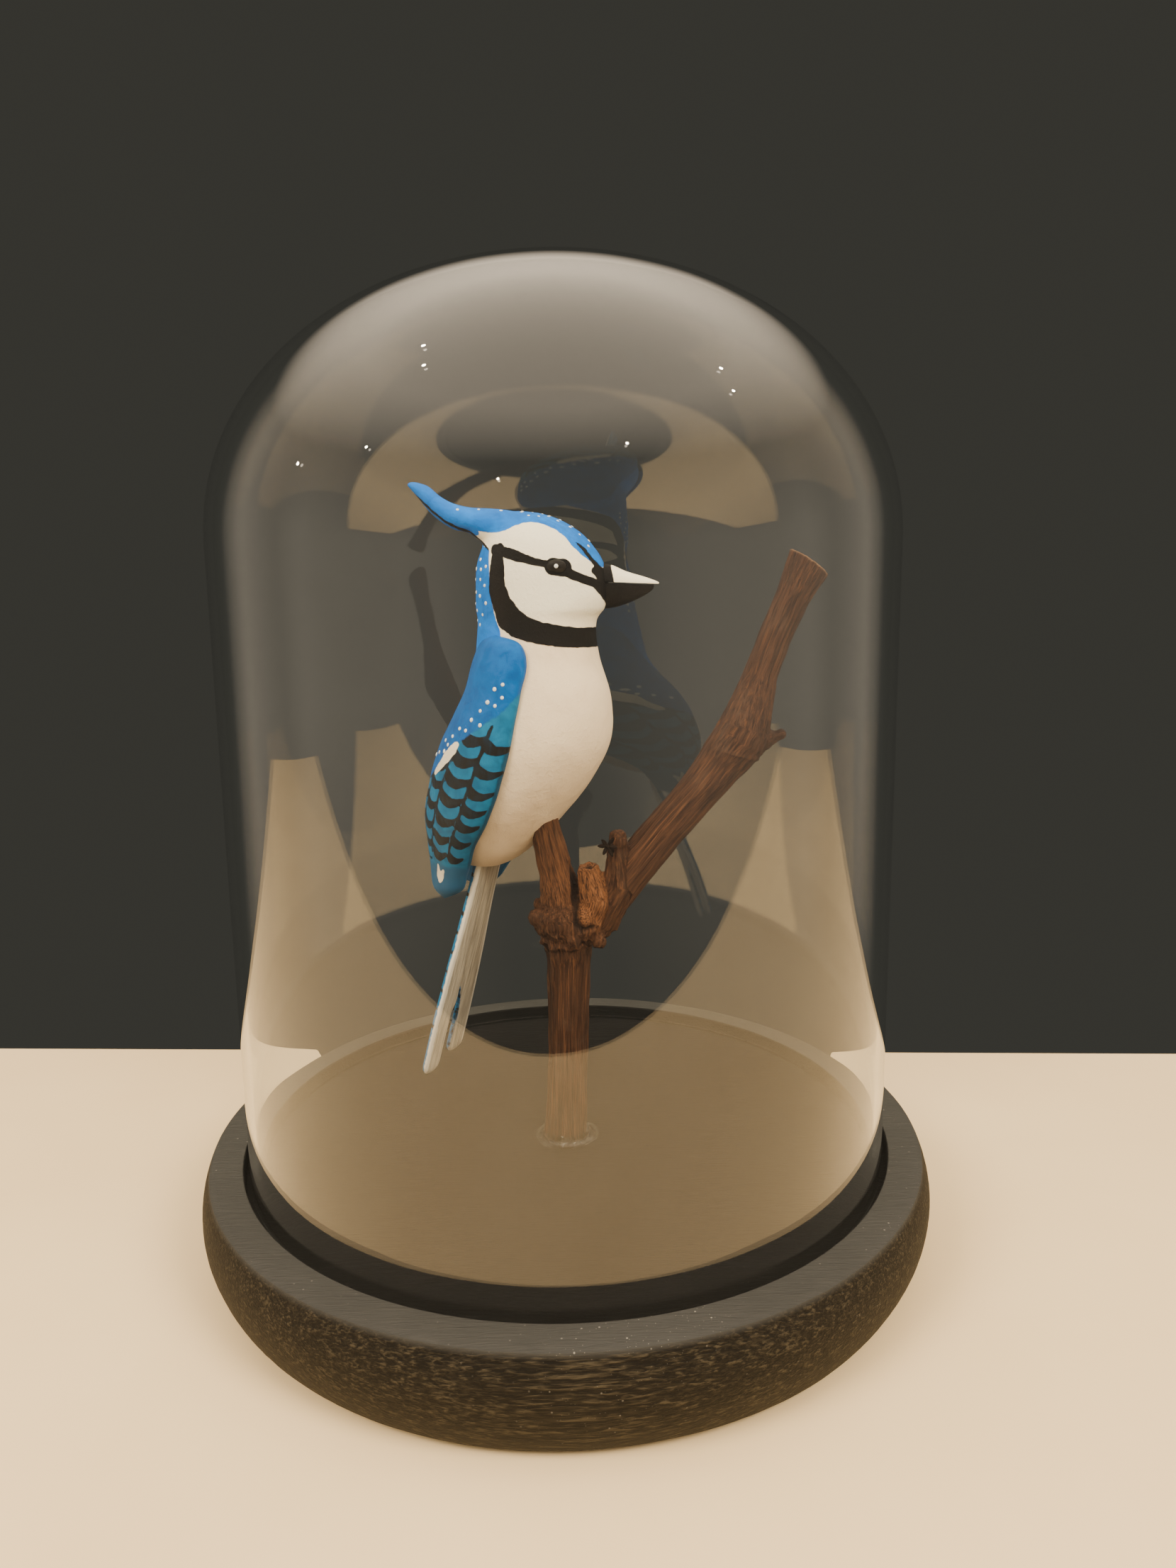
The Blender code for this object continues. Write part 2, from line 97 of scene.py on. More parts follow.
class Slot(Enum):
    """The material slots of the record."""

    STAINED_WOOD = "black_stained_wood"
    FELT = "black_felt"
    GLASS = "clear_glass"
    BARK = "vine_bark"
    GLUE = "clear_glue"
    STEEL = "steel"
    DOWEL = "dowel_wood"
    WHITE = "painted_white"
    BLUE = "painted_blue"
    BLACK = "painted_black"


class Side(Enum):
    """The bird's own sides."""

    RIGHT = 1
    LEFT = -1


# ---------------------------------------------------------------- materials


class Reading:
    """A number that changes over a surface: one socket of a material, with arithmetic."""

    def __init__(self, sheet: Sheet, socket: Socket) -> None:
        """Wrap a socket.

        Args:
            sheet: the material's node sheet that the socket belongs to.
            socket: the output socket that gives the number.
        """
        self.sheet = sheet
        self.socket = socket

    def _maths(self, operation: str, *terms: Reading | float) -> Reading:
        """Add one Math node and read its result."""
        made = self.sheet.node("ShaderNodeMath", {"operation": operation}, dict(enumerate(terms)))
        return Reading(self.sheet, made.outputs[0])

    def __add__(self, other: Reading | float) -> Reading:
        """Add."""
        return self._maths("ADD", self, other)

    __radd__ = __add__

    def __mul__(self, other: Reading | float) -> Reading:
        """Multiply."""
        return self._maths("MULTIPLY", self, other)

    __rmul__ = __mul__

    def __sub__(self, other: Reading | float) -> Reading:
        """Subtract the other."""
        return self._maths("SUBTRACT", self, other)

    def __rsub__(self, other: Reading | float) -> Reading:
        """Subtract from the other."""
        return self._maths("SUBTRACT", other, self)

    def least(self, other: Reading | float) -> Reading:
        """Take the smaller of the two."""
        return self._maths("MINIMUM", self, other)

    def most(self, other: Reading | float) -> Reading:
        """Take the larger of the two."""
        return self._maths("MAXIMUM", self, other)

    def clipped(self) -> Reading:
        """Keep the number between 0 and 1."""
        return self.most(0.0).least(1.0)

    def between(self, low: float, high: float) -> Reading:
        """Read how far the number is from low (0) to high (1)."""
        return ((self - low) * (1.0 / (high - low))).clipped()

    def inside(self, soft: float) -> Reading:
        """Turn a signed distance, in mm, into cover: 1 inside, 0 outside, over a soft edge in mm."""
        return (0.5 - self * (1.0 / soft)).clipped()


class Sheet:
    """The node tree of one material, or of the world."""

    def __init__(self, owner: bpy.types.Material | bpy.types.World) -> None:
        """Empty the owner's tree.

        Args:
            owner: the material or world.
        """
        owner.use_nodes = True
        self.owner = owner
        self.tree = owner.node_tree
        self.tree.nodes.clear()
        self.coordinates = self.node("ShaderNodeTexCoord", {}, {}).outputs
        self.place = self.coordinates["Object"]

    def node(self, kind: str, settings: dict[str, Any], inputs: Inputs) -> bpy.types.Node:
        """Add a node.

        Args:
            kind: the node's type.
            settings: its properties, set first.
            inputs: a value, a socket or a reading for each input, by name or number.

        Returns:
            The node.
        """
        made = self.tree.nodes.new(kind)
        for name, value in settings.items():
            setattr(made, name, value)
        for name, value in inputs.items():
            self.feed(made.inputs[name], value)
        return made

    def feed(self, socket: Socket, value: Any) -> None:
        """Link a socket or a reading to an input, or set its value.

        Args:
            socket: The input.
            value: A socket, a reading, or what the input is set to.
        """
        if isinstance(value, Reading):
            value = value.socket
        if isinstance(value, Socket):
            self.tree.links.new(value, socket)
        elif isinstance(value, tuple) and len(value) == 3 and socket.type == "RGBA":
            socket.default_value = (*value, 1.0)
        else:
            socket.default_value = value

    def part(self, vector: Socket, axis: int) -> Reading:
        """Read one number of a vector."""
        return Reading(self, self.node("ShaderNodeSeparateXYZ", {}, {0: vector}).outputs[axis])

    def attribute(self, name: str) -> Reading:
        """Read a number that the mesh carries."""
        made = self.node("ShaderNodeAttribute", {"attribute_name": name}, {})
        return Reading(self, made.outputs["Fac"])

    def carried(self, name: str) -> Socket:
        """Read a vector that the mesh carries."""
        return self.node("ShaderNodeAttribute", {"attribute_name": name}, {}).outputs["Vector"]

    def streaked(
        self,
        scale: Colour,
        detail: float,
        rough: float,
        bend: float = 0.0,
        source: Socket | None = None,
    ) -> Reading:
        """Read a noise that is drawn out into streaks.

        Args:
            scale: the factor along each axis; the streaks run along its small numbers.
            detail: how many finer layers it has.
            rough: how strong the finer layers are.
            bend: how far it is distorted.
            source: the vector that it follows, or else the place on the piece.

        Returns:
            The noise.
        """
        inputs = {"Vector": source or self.place, "Scale": scale}
        return self.noise(self.node("ShaderNodeMapping", {}, inputs).outputs["Vector"], 1.0, detail, rough, bend)

    def leaning(self, radians: float) -> Socket:
        """Give the object's own coordinates, leaned over in the plane of X and Z."""
        inputs = {"Vector": self.place, "Angle": radians}
        return self.node("ShaderNodeVectorRotate", {"rotation_type": "Y_AXIS"}, inputs).outputs["Vector"]

    def noise(
        self,
        vector: Socket,
        scale: float,
        detail: float = 3.0,
        rough: float = 0.5,
        bend: float = 0.0,
    ) -> Reading:
        """Read a cloudy noise, about 0.5 on average.

        Args:
            vector: where to read it.
            scale: how many of its clouds fit in one unit.
            detail: how many finer layers it has.
            rough: how strong the finer layers are.
            bend: how far it is distorted.

        Returns:
            The noise.
        """
        inputs = {"Vector": vector, "Scale": scale, "Detail": detail, "Roughness": rough, "Distortion": bend}
        return Reading(self, self.node("ShaderNodeTexNoise", {}, inputs).outputs["Fac"])

    def cells(self, vector: Socket, scale: float) -> Reading:
        """Read the distance to the nearest of many scattered points."""
        inputs = {"Vector": vector, "Scale": scale}
        return Reading(self, self.node("ShaderNodeTexVoronoi", {}, inputs).outputs["Distance"])

    def mix(self, share: Reading | float, first: Any, second: Any) -> Socket:
        """Mix two colours.

        Args:
            share: how much of the second shows.
            first: the colour where the share is 0.
            second: the colour where the share is 1.

        Returns:
            The mixed colour.
        """
        made = self.node("ShaderNodeMix", {"data_type": "RGBA"}, {0: share, 6: first, 7: second})
        return made.outputs[2]

    def dent(self, height: Reading, strength: float, depth_mm: float) -> Socket:
        """Turn a height into a bumped normal.

        Args:
            height: the height, from 0 to about 1.
            strength: how strongly it shows.
            depth_mm: how deep a height of 1 is.

        Returns:
            The normal.
        """
        inputs = {"Height": height, "Strength": strength, "Distance": depth_mm * MM}
        return self.node("ShaderNodeBump", {}, inputs).outputs["Normal"]

    def finish(self, inputs: Inputs) -> bpy.types.Material:
        """Close the material with one Principled shader.

        Args:
            inputs: the shader's inputs.

        Returns:
            The material.
        """
        shader = self.node("ShaderNodeBsdfPrincipled", {}, inputs)
        self.node("ShaderNodeOutputMaterial", {}, {"Surface": shader.outputs["BSDF"]})
        return self.owner


@dataclass(frozen=True)
class Finish:
    """A finish that a piece can have."""

    name: str

    def material(self) -> bpy.types.Material:
        """Find the material of this finish, or make it the first time."""
        return bpy.data.materials.get(self.name) or self.mixed()

    def mixed(self) -> bpy.types.Material:
        """Make the material from this finish's inputs."""
        sheet = Sheet(bpy.data.materials.new(self.name))
        return sheet.finish(self.inputs(sheet))

    def inputs(self, sheet: Sheet) -> Inputs:
        """Lay out what goes into the shader."""
        raise NotImplementedError


@dataclass(frozen=True)
class StainedWood(Finish):
    """Open-grained wood under a matte black stain, with its grain along X and dust where it is touched; the rim's top
    has a painted sheen and the recess floor painted shade.
    """

    black: Colour = (0.0045, 0.0042, 0.0036)
    worn: Colour = (0.050, 0.041, 0.026)
    # painted sheen: the grey that the rim's top is lightened towards
    painted_sheen: Colour = (0.056, 0.055, 0.050)
    dust: Colour = (0.30, 0.28, 0.24)

    def inputs(self, sheet: Sheet) -> Inputs:
        """Lay out what goes into the shader.

        Args:
            sheet: The node sheet it is laid out on.

        Returns:
            What the shader's inputs are fed, by the input's name.
        """
        open_air = sheet.attribute("open_air")
        top = sheet.attribute("top")
        fibres = sheet.streaked((150.0, 1900.0, 1900.0), 4.0, 0.65, 0.3)
        dashes = sheet.streaked((120.0, 900.0, 900.0), 2.0, 0.5, 0.8)
        lines = sheet.streaked((9.0, 300.0, 300.0), 3.0, 0.55, 0.3)
        broad = sheet.noise(sheet.place, 28.0, 3.0, 0.55)
        specks = sheet.cells(sheet.place, 330.0)
        fine_specks = sheet.cells(sheet.place, 900.0)
        wear = dashes.between(0.48, 0.66) * fibres.between(0.38, 0.62) * (0.60 + broad * 0.6)
        wear = (wear + fibres.between(0.45, 0.70) * 0.38).clipped()
        # Painted shade: on the recess floor under the dome the lighter worn fibres are mostly held back, so it stays
        # darker.
        wear = wear * (0.06 + 0.94 * open_air) * (1.0 - top * 0.55)
        colour = sheet.mix(wear, self.black, self.worn)
        # Painted sheen: the rim's top is lightened towards grey, standing in for the broad reflection of light on it.
        painted_sheen_share = top * (0.40 + 0.45 * broad + 0.30 * fibres).clipped()
        colour = sheet.mix(painted_sheen_share, colour, self.painted_sheen)
        spots = (0.10 - specks).between(0.0, 0.05) * broad.between(0.42, 0.62)
        spots = (spots + (0.12 - fine_specks).between(0.0, 0.05) * broad.between(0.5, 0.7)).clipped()
        colour = sheet.mix(spots * (0.10 + 0.55 * top + 0.15 * open_air).clipped(), colour, self.dust)
        grooves = fibres * 0.7 + lines * 0.5 + dashes * 0.9
        return {
            "Base Color": colour,
            "Roughness": 0.62 + fibres * 0.2,
            "Normal": sheet.dent(grooves, 0.8, 0.40),
            "Specular IOR Level": 0.25,
        }


@dataclass(frozen=True)
class PressedFelt(Finish):
    """Black pressed felt with loose fibres."""

    dark: Colour = (0.006, 0.006, 0.0065)
    fluff: Colour = (0.035, 0.034, 0.034)

    def inputs(self, sheet: Sheet) -> Inputs:
        """Lay out what goes into the shader.

        Args:
            sheet: The node sheet it is laid out on.

        Returns:
            What the shader's inputs are fed, by the input's name.
        """
        fibres = sheet.noise(sheet.place, 1500.0, 5.0, 0.75, 1.6)
        clumps = sheet.noise(sheet.place, 160.0, 3.0, 0.6)
        cover = fibres.between(0.40, 0.70) * (0.4 + clumps * 0.8)
        return {
            "Base Color": sheet.mix(cover.clipped(), self.dark, self.fluff),
            "Roughness": 0.9 + fibres * 0.1,
            "Normal": sheet.dent(fibres + clumps * 0.6, 0.9, 0.35),
            "Sheen Weight": 0.35,
            "Sheen Roughness": 0.45,
            "Specular IOR Level": 0.2,
        }


@dataclass(frozen=True)
class BlownGlass(Finish):
    """Clear soda-lime glass that lets light through to what stands in it."""

    tint: Colour = (0.985, 0.995, 0.988)

    def mixed(self) -> bpy.types.Material:
        """Make the material.

        Returns:
            The glass, mixed from its parts.
        """
        sheet = Sheet(bpy.data.materials.new(self.name))
        glass = sheet.node(
            "ShaderNodeBsdfPrincipled",
            {},
            {
                "Base Color": self.tint,
                "Roughness": 0.0,
                "IOR": 1.5,
                "Transmission Weight": 1.0,
                "Specular IOR Level": 0.5,
            },
        )
        clear = sheet.node("ShaderNodeBsdfTransparent", {}, {"Color": (0.97, 0.98, 0.97)})
        shadow = sheet.node("ShaderNodeLightPath", {}, {}).outputs["Is Shadow Ray"]
        both = {0: shadow, 1: glass.outputs["BSDF"], 2: clear.outputs["BSDF"]}
        shader = sheet.node("ShaderNodeMixShader", {}, both)
        sheet.node("ShaderNodeOutputMaterial", {}, {"Surface": shader.outputs["Shader"]})
        return sheet.owner


@dataclass(frozen=True)
class ClearGlue(Finish):
    """A bead of set glue: glossy, a little milky, with trapped bubbles."""

    clear: Colour = (0.93, 0.90, 0.84)
    milky: Colour = (0.80, 0.76, 0.68)

    def inputs(self, sheet: Sheet) -> Inputs:
        """Lay out what goes into the shader.

        Args:
            sheet: The node sheet it is laid out on.

        Returns:
            What the shader's inputs are fed, by the input's name.
        """
        cloud = sheet.noise(sheet.place, 520.0, 3.0, 0.6)
        bubbles = sheet.cells(sheet.place, 900.0)
        return {
            "Base Color": sheet.mix(cloud.between(0.4, 0.7), self.clear, self.milky),
            "Roughness": 0.10 + cloud * 0.16,
            "Normal": sheet.dent(bubbles.between(0.0, 0.3) + cloud, 0.35, 0.15),
            "Transmission Weight": 1.0,
            "IOR": 1.47,
        }


@dataclass(frozen=True)
class VineBark(Finish):
    """Dry reddish bark in long fibres, grey where it has rubbed, pale on the sawn end, with painted shade in its
    hollows and a painted highlight on the perch.
    """

    deep: Colour = (0.0190, 0.0080, 0.0042)
    brown: Colour = (0.066, 0.0280, 0.0135)
    light: Colour = (0.150, 0.066, 0.0290)
    grey: Colour = (0.092, 0.060, 0.041)
    fibre: Colour = (0.230, 0.092, 0.034)
    sawn: Colour = (0.30, 0.175, 0.090)
    pith: Colour = (0.085, 0.038, 0.017)

    def inputs(self, sheet: Sheet) -> Inputs:
        """Lay out what goes into the shader.

        Args:
            sheet: The node sheet it is laid out on.

        Returns:
            What the shader's inputs are fed, by the input's name.
        """
        along = sheet.carried("grain")
        strands = sheet.streaked((1.15, 1.15, 0.050), 5.0, 0.66, 0.25, source=along)
        threads = sheet.streaked((3.1, 3.1, 0.16), 4.0, 0.7, source=along)
        cracks = sheet.streaked((1.9, 1.9, 0.085), 2.0, 0.5, 0.6, source=along)
        streaks = sheet.streaked((1.5, 1.5, 0.020), 3.0, 0.6, source=along)
        patches = sheet.noise(sheet.place, 95.0, 4.0, 0.6)
        flakes = sheet.noise(sheet.place, 620.0, 4.0, 0.7)
        fray = sheet.attribute("fray")
        cut = sheet.attribute("sawn")
        hollow = sheet.attribute("hollow")
        ridge = strands.between(0.36, 0.66)
        colour = sheet.mix(ridge, self.deep, self.brown)
        colour = sheet.mix(threads.between(0.48, 0.74) * ridge, colour, self.light)
        colour = sheet.mix(streaks.between(0.56, 0.68) * 0.38, colour, self.fibre)
        colour = sheet.mix((0.42 - streaks).between(0.0, 0.06) * 0.45, colour, self.deep)
        colour = sheet.mix(patches.between(0.52, 0.72) * 0.55 * flakes.between(0.3, 0.7), colour, self.grey)
        # Orange fibres where the stub and knot fray, and a painted highlight along the perch's threads.
        colour = sheet.mix(fray * threads.between(0.38, 0.62), colour, self.fibre)
        colour = sheet.mix((0.40 - cracks).between(0.0, 0.06) * 0.85, colour, self.deep)
        rings = sheet.streaked((1.4, 1.4, 1.4), 4.0, 0.7, 0.8, source=along)
        face = sheet.mix(rings.between(0.35, 0.7), self.sawn, self.pith)
        face = sheet.mix(rings.between(0.30, 0.46), self.sawn, face)
        colour = sheet.mix(cut, colour, face)
        # Painted shade: the stub's hollow end and the clefts are darkened nearly to black.
        colour = sheet.mix(hollow, colour, (0.010, 0.006, 0.004))
        relief = strands * 0.9 + threads * 0.5 + flakes * 0.25 + cracks.between(0.34, 0.42) * 0.3
        return {
            "Base Color": colour,
            "Roughness": 0.58 + threads * 0.2 + patches * 0.12,
            "Normal": sheet.dent(relief + streaks * 0.6, 0.9, 0.42),
            "Specular IOR Level": 0.36,
        }


@dataclass(frozen=True)
class BrushedPaint(Finish):
    """One colour of acrylic paint, brushed by hand."""

    colour: Colour
    shade: Colour
    gloss: float = 0.45
    grain: Colour = (420.0, 420.0, 420.0)
    ridges_mm: float = 0.10

    def inputs(self, sheet: Sheet) -> Inputs:
        """Lay out what goes into the shader.

        Args:
            sheet: The node sheet it is laid out on.

        Returns:
            What the shader's inputs are fed, by the input's name.
        """
        brush = sheet.streaked(self.grain, 4.0, 0.6)
        cloud = sheet.noise(sheet.place, 130.0, 3.0, 0.55)
        pores = sheet.noise(sheet.place, 1900.0, 3.0, 0.6)
        share = (cloud.between(0.35, 0.7) * 0.55 + brush.between(0.45, 0.7) * 0.45).clipped()
        return {
            "Base Color": sheet.mix(share, self.colour, self.shade),
            "Roughness": self.gloss + brush * 0.14,
            "Normal": sheet.dent(brush + pores * 0.25, 0.6, self.ridges_mm),
            "Specular IOR Level": 0.30,
        }


@dataclass(frozen=True)
class BodyPaint(Finish):
    """The bird's painted body: white, with blue and black where the mesh says so, and a painted highlight that
    brightens the head.
    """

    white: Colour = (0.86, 0.69, 0.490)
    cream: Colour = (0.71, 0.545, 0.370)
    painted_face_highlight: Colour = (0.95, 0.88, 0.69)
    blue: Colour = (0.0005, 0.190, 0.720)
    deep_blue: Colour = (0.0005, 0.115, 0.480)
    black: Colour = (0.0042, 0.0036, 0.0032)

    def inputs(self, sheet: Sheet) -> Inputs:
        """Lay out what goes into the shader.

        Args:
            sheet: The node sheet it is laid out on.

        Returns:
            What the shader's inputs are fed, by the input's name.
        """
        brush = sheet.streaked((640.0, 520.0, 260.0), 4.0, 0.62, 0.5)
        swirl = sheet.noise(sheet.place, 150.0, 4.0, 0.6, 0.8)
        pores = sheet.noise(sheet.place, 1700.0, 3.0, 0.6)
        wobble = (sheet.noise(sheet.place, 380.0, 3.0, 0.6) - 0.5) * 0.9
        blue_cover = (sheet.attribute("blue") + wobble).inside(0.22)
        black_cover = (sheet.attribute("black") + wobble).inside(0.18)
        bumps = sheet.noise(sheet.place, 1050.0, 3.0, 0.5)
        scratches = sheet.streaked((160.0, 700.0, 2300.0), 2.0, 0.5, source=sheet.leaning(0.9))
        white = sheet.mix(swirl.between(0.50, 0.78) * 0.50 + brush.between(0.56, 0.8) * 0.12, self.white, self.cream)
        # Painted highlight: from the necklace up, and on the upper beak, the white turns paler, as light falls more
        # on the head.
        white = sheet.mix(sheet.attribute("face").between(0.0, 9.0), white, self.painted_face_highlight)
        blue = sheet.mix(swirl.between(0.35, 0.7), self.blue, self.deep_blue)
        colour = sheet.mix(blue_cover, white, blue)
        colour = sheet.mix(black_cover, colour, self.black)
        relief = brush * 0.8 + swirl * 0.6 + pores * 0.2 + black_cover * 0.8 + blue_cover * 0.3
        relief = relief + bumps.between(0.50, 0.80) * 0.5 + scratches.between(0.60, 0.80) * 0.35
        return {
            "Base Color": colour,
            "Roughness": 0.52 + brush * 0.14,
            "Normal": sheet.dent(relief, 0.6, 0.26),
            "Specular IOR Level": 0.24,
        }


@dataclass(frozen=True)
class WingPaint(Finish):
    """The painted wing: blue shoulder, turquoise cells, black feather bars and white patches."""

    mantle: Colour = (0.0010, 0.112, 0.410)
    mantle_deep: Colour = (0.0008, 0.070, 0.280)
    turquoise: Colour = (0.0003, 0.100, 0.225)
    pale: Colour = (0.0020, 0.165, 0.345)
    rim: Colour = (0.0004, 0.048, 0.105)
    tip: Colour = (0.012, 0.095, 0.210)
    white: Colour = (0.84, 0.76, 0.60)
    black: Colour = (0.0050, 0.0040, 0.0035)

    def inputs(self, sheet: Sheet) -> Inputs:
        """Lay out what goes into the shader.

        Args:
            sheet: The node sheet it is laid out on.

        Returns:
            What the shader's inputs are fed, by the input's name.
        """
        brush = sheet.streaked((560.0, 560.0, 240.0), 4.0, 0.62, 0.4)
        cloud = sheet.noise(sheet.place, 210.0, 3.0, 0.6, 0.5)
        pores = sheet.noise(sheet.place, 1700.0, 3.0, 0.6)
        wobble = (sheet.noise(sheet.place, 420.0, 3.0, 0.6) - 0.5) * 0.9
        bars = (sheet.attribute("bars") + wobble).inside(0.16)
        mantle = (sheet.attribute("mantle") + wobble * 2.4).inside(0.9)
        tip = (sheet.attribute("tip") + wobble * 2.0).inside(1.6)
        white = (sheet.attribute("white") + wobble).inside(0.20)
        rim = (sheet.attribute("rim") + wobble).inside(0.5)
        cell = sheet.mix(cloud.between(0.36, 0.66), self.turquoise, self.pale)
        upper = sheet.mix(cloud.between(0.40, 0.70), self.mantle, self.mantle_deep)
        colour = sheet.mix(rim * 0.85, cell, self.rim)
        colour = sheet.mix(tip, colour, self.tip)
        colour = sheet.mix(bars * (0.82 + brush * 0.3).clipped(), colour, self.black)
        colour = sheet.mix(mantle, colour, upper)
        colour = sheet.mix(white, colour, self.white)
        relief = brush * 0.8 + cloud * 0.4 + pores * 0.2 + bars * 0.7 + white * 0.6 + mantle * 0.4
        return {
            "Base Color": colour,
            "Roughness": 0.48 + brush * 0.18,
            "Normal": sheet.dent(relief, 0.7, 0.28),
            "Specular IOR Level": 0.27,
        }


@dataclass(frozen=True)
class TailPaint(Finish):
    """A painted tail slat: blue with black bars on its upper face, white brushed out to grey below."""

    white: Colour = (0.58, 0.50, 0.38)
    grey: Colour = (0.22, 0.19, 0.145)
    bright: Colour = (0.84, 0.78, 0.66)
    blue: Colour = (0.001, 0.150, 0.340)
    black: Colour = (0.005, 0.005, 0.0055)

    def inputs(self, sheet: Sheet) -> Inputs:
        """Lay out what goes into the shader.

        Args:
            sheet: The node sheet it is laid out on.

        Returns:
            What the shader's inputs are fed, by the input's name.
        """
        along = sheet.carried("slat")
        streaks = sheet.streaked((1.6, 1.6, 0.07), 4.0, 0.62, source=along)
        strokes = sheet.streaked((0.6, 0.6, 0.05), 3.0, 0.6, 0.3, source=along)
        wobble = (sheet.noise(sheet.place, 420.0, 3.0, 0.6) - 0.5) * 1.2
        top = (sheet.attribute("top") + wobble).inside(0.4)
        bars = (sheet.attribute("bars") + wobble).inside(0.3)
        edge = (sheet.attribute("bevel") + wobble * 0.5).inside(0.4)
        worn = streaks.between(0.38, 0.66) * 0.75 + strokes.between(0.45, 0.7) * 0.25
        under = sheet.mix(worn, self.white, self.grey)
        under = sheet.mix(edge * 0.8, under, self.bright)
        over = sheet.mix(bars, self.blue, self.black)
        over = sheet.mix(streaks.between(0.6, 0.75) * 0.3, over, self.white)
        return {
            "Base Color": sheet.mix(top, under, over),
            "Roughness": 0.46 + streaks * 0.16,
            "Normal": sheet.dent(streaks + strokes * 0.5, 0.8, 0.30),
            "Specular IOR Level": 0.28,
        }


@dataclass(frozen=True)
class WorkedSteel(Finish):
    """Plated steel with fine turning marks."""

    pale: Colour = (0.58, 0.58, 0.60)
    dull: Colour = (0.36, 0.36, 0.37)

    def inputs(self, sheet: Sheet) -> Inputs:
        """Lay out what goes into the shader.

        Args:
            sheet: The node sheet it is laid out on.

        Returns:
            What the shader's inputs are fed, by the input's name.
        """
        marks = sheet.streaked((300.0, 300.0, 4000.0), 3.0, 0.6)
        stains = sheet.noise(sheet.place, 600.0, 3.0, 0.6)
        return {
            "Base Color": sheet.mix(stains.between(0.4, 0.7), self.pale, self.dull),
            "Roughness": 0.28 + marks * 0.2,
            "Metallic": 1.0,
            "Normal": sheet.dent(marks, 0.4, 0.05),
        }


@dataclass(frozen=True)
class PlainWood(Finish):
    """Bare pale wood with its grain along Z."""

    pale: Colour = (0.58, 0.39, 0.215)
    dark: Colour = (0.36, 0.20, 0.095)

    def inputs(self, sheet: Sheet) -> Inputs:
        """Lay out what goes into the shader.

        Args:
            sheet: The node sheet it is laid out on.

        Returns:
            What the shader's inputs are fed, by the input's name.
        """
        grain = sheet.streaked((1500.0, 1500.0, 90.0), 4.0, 0.6)
        return {
            "Base Color": sheet.mix(grain.between(0.4, 0.68), self.pale, self.dark),
            "Roughness": 0.55 + grain * 0.2,
            "Normal": sheet.dent(grain, 0.6, 0.12),
        }


@dataclass(frozen=True)
class PaleFloor(Finish):
    """The plain pale surface that the object stands on."""

    pale: Colour = (0.88, 0.68, 0.40)
    soft: Colour = (0.83, 0.63, 0.36)

    def inputs(self, sheet: Sheet) -> Inputs:
        """Lay out what goes into the shader.

        Args:
            sheet: The node sheet it is laid out on.

        Returns:
            What the shader's inputs are fed, by the input's name.
        """
        cloud = sheet.noise(sheet.place, 6.0, 4.0, 0.6)
        fine = sheet.noise(sheet.place, 380.0, 3.0, 0.6)
        return {
            "Base Color": sheet.mix(cloud.between(0.35, 0.7), self.pale, self.soft),
            "Roughness": 0.62 + fine * 0.1,
            "Normal": sheet.dent(fine, 0.15, 0.2),
        }


STAIN = StainedWood("black_stain")
FELT = PressedFelt("pressed_felt")
GLASS = BlownGlass("blown_glass")
GLUE = ClearGlue("set_glue")
BARK = VineBark("dry_bark")
BODY_PAINT = BodyPaint("body_paint")
WING_PAINT = WingPaint("wing_paint")
TAIL_PAINT = TailPaint("tail_paint")
BLACK_PAINT = BrushedPaint("black_paint", (0.0045, 0.0038, 0.0034), (0.012, 0.010, 0.008), 0.42, (380, 800, 800))
DOT_PAINT = BrushedPaint("dot_paint", (0.86, 0.86, 0.80), (0.62, 0.68, 0.70), 0.40)
DRY_FLOWER = BrushedPaint("dry_flower", (0.005, 0.003, 0.002), (0.014, 0.007, 0.004), 0.75, (900, 900, 900), 0.2)
STEEL = WorkedSteel("plated_steel")
DOWEL = PlainWood("bare_dowel")
FLOOR = PaleFloor("pale_floor")


# ---------------------------------------------------------------- shapes


def smooth_rows(rows: Sequence[Sequence[float]], t: Array) -> Array:
    """Read a smooth curve through evenly spaced rows.

    Args:
        rows: the rows, each of the same length.
        t: where to read, from 0 at the first row to 1 at the last.

    Returns:
        One row for each t.
    """
    table = np.asarray(rows, float)
    last = len(table) - 1
    i = np.minimum((np.clip(t, 0.0, 1.0) * last).astype(int), last - 1)
    f = (np.clip(t, 0.0, 1.0) * last - i)[:, None]
    start, end = table[i], table[i + 1]
    start_slope = (end - table[np.maximum(i - 1, 0)]) / 2
    end_slope = (table[np.minimum(i + 2, last)] - start) / 2
    return (
        (2 * f**3 - 3 * f**2 + 1) * start
        + (f**3 - 2 * f**2 + f) * start_slope
        + (3 * f**2 - 2 * f**3) * end
        + (f**3 - f**2) * end_slope
    )


def point_faces_out(bm: BMesh) -> None:
    """Give a closed bmesh faces that agree with each other and point out.

    Args:
        bm: The bmesh, changed in place.
    """
    bmesh.ops.recalc_face_normals(bm, faces=bm.faces)
    if bm.calc_volume(signed=True) < 0:
        bmesh.ops.reverse_faces(bm, faces=bm.faces)


def made_mesh(bm: BMesh, name: str, sharp_deg: float = 40.0) -> Mesh:
    """Turn a closed bmesh into a smooth-shaded mesh and free it.

    Args:
        bm: the bmesh.
        name: the mesh's name.
        sharp_deg: edges sharper than this stay sharp.

    Returns:
        The mesh.
    """
    point_faces_out(bm)
    mesh = bpy.data.meshes.new(name)
    bm.to_mesh(mesh)
    bm.free()
    mesh.shade_smooth()
    mesh.set_sharp_from_angle(angle=math.radians(sharp_deg))
    return mesh


def corners(bm: BMesh) -> Array:
    """Read the places of a bmesh's vertices."""
    return np.array([v.co for v in bm.verts], float).reshape(-1, 3)


